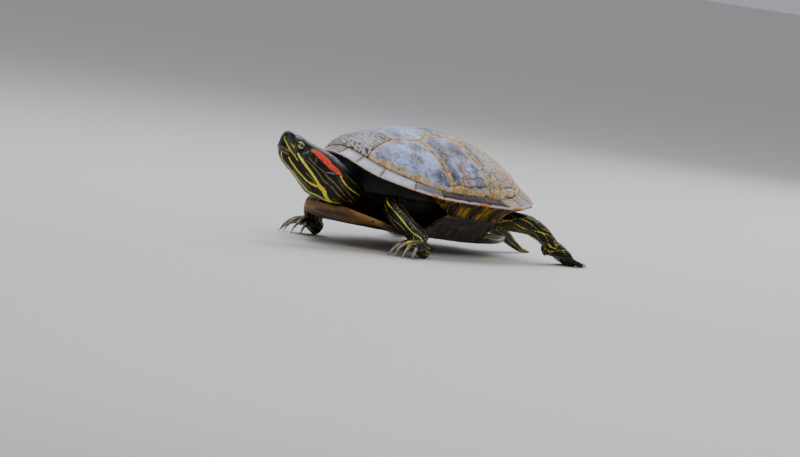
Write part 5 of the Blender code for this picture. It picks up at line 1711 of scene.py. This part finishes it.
# %% The scales' bake map
PATCH = 0.003                        # of the map's side, for a 4 mm plate
at_vertex = (unwrap[:, None] + plate_points[:, :2] / (4 * MM) * PATCH).reshape(-1, 2)
corner = read(scale_mesh.loops, "vertex_index", 1, np.int32)[:, 0]
bake_map = scale_mesh.uv_layers.new(name="OFBake")
bake_map.data.foreach_set("uv", at_vertex[corner].astype(np.float32).ravel())
print("map reaches", np.round(at_vertex.min(0), 3), "to", np.round(at_vertex.max(0), 3))

# %% [markdown]
# ## Floor, light and camera
# A pale floor and broad soft lamps, as in a studio. A large lamp stands high behind the animal, so
# that the wet dome catches a sheen as it would from the sky.

# %% Stage
HALF_FLOOR = 6                       # metres
floor_look, _ = new_look("pale_studio_floor", Roughness=0.7, Base_Color="D8D6D2")
floor_corners = [(x * HALF_FLOOR, y * HALF_FLOOR, 0) for x, y in ((-1, -1), (1, -1), (1, 1), (-1, 1))]
floor_mesh = plain_mesh("studio_floor", floor_corners, [(0, 1, 2, 3)])
floor_mesh.materials.append(floor_look)
add_object("studio_floor", floor_mesh)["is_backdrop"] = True

world = bpy.data.worlds.new("studio")
world.use_nodes = True
for socket, value in (("Color", linear("D9DCE2")), ("Strength", 0.55)):
    world.node_tree.nodes["Background"].inputs[socket].default_value = value
bpy.context.scene.world = world

# Square area lamps: place in metres, watts, side and tint; each is aimed at the shell.
for name, spot, watts, size, tint in (("sky_lamp", (-0.35, 0.25, 1.25), 16.0, 1.1, "EAF0FF"),
                                      ("key_lamp", (1.0, -0.9, 1.1), 9.0, 0.8, "FFF8EE"),
                                      ("rim_lamp", (-0.3, 1.3, 0.6), 5.0, 0.7, "FFF4E6")):
    lamp = bpy.data.lights.new(name, "AREA")
    lamp.energy, lamp.size, lamp.color = watts, size, linear(tint)[:3]
    holder = add_object(name, lamp)
    holder.location = spot
    aim = Vector((0.0, 0.0, 0.05)) - Vector(spot)
    holder.rotation_euler = aim.to_track_quat("-Z", "Y").to_euler()
    print(name, watts, "W")

# %% Camera
VIEW_TURN = math.radians(49.35)      # from the animal's exact left towards its front
VIEW_HEIGHT = math.radians(3.99)
VIEW_ROLL = math.radians(7.51)       # the camera leans, so the ground seems to slope
VIEW_DISTANCE = 4.2
LENS = 250.8                         # mm, on a sensor 36 mm wide
AIM_RIGHT, AIM_UP = -9.5 * MM, -28.0 * MM            # from the shell's middle, in the view
back = Vector((math.cos(VIEW_HEIGHT) * math.cos(VIEW_TURN),
               -math.cos(VIEW_HEIGHT) * math.sin(VIEW_TURN), math.sin(VIEW_HEIGHT)))
level = Vector(UP).cross(back).normalized()
right = level * math.cos(VIEW_ROLL) + back.cross(level) * math.sin(VIEW_ROLL)
upward = back.cross(right)
aim = Vector(SHELL_AT) + AIM_RIGHT * right + AIM_UP * upward
spot = Vector(SHELL_AT) + VIEW_DISTANCE * back
facing = (spot - aim).normalized()
right = upward.cross(facing).normalized()
upward = facing.cross(right)
camera_data = bpy.data.cameras.new("camera")
camera_data.lens, camera_data.sensor_width, camera_data.clip_end = LENS, 36.0, 50
camera = add_object("camera", camera_data)
camera.matrix_world = Matrix.Translation(spot) @ Matrix((right, upward, facing)).transposed().to_4x4()
bpy.context.scene.camera = camera
print("camera at", np.round(spot, 3))

# %% Finish
visual_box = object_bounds()
sizes = {"cad": [list(map(float, corner)) for corner in cad_box],
         "visual": [list(map(float, corner)) for corner in visual_box]}
print("CAD box", sizes["cad"], "visual box", sizes["visual"])
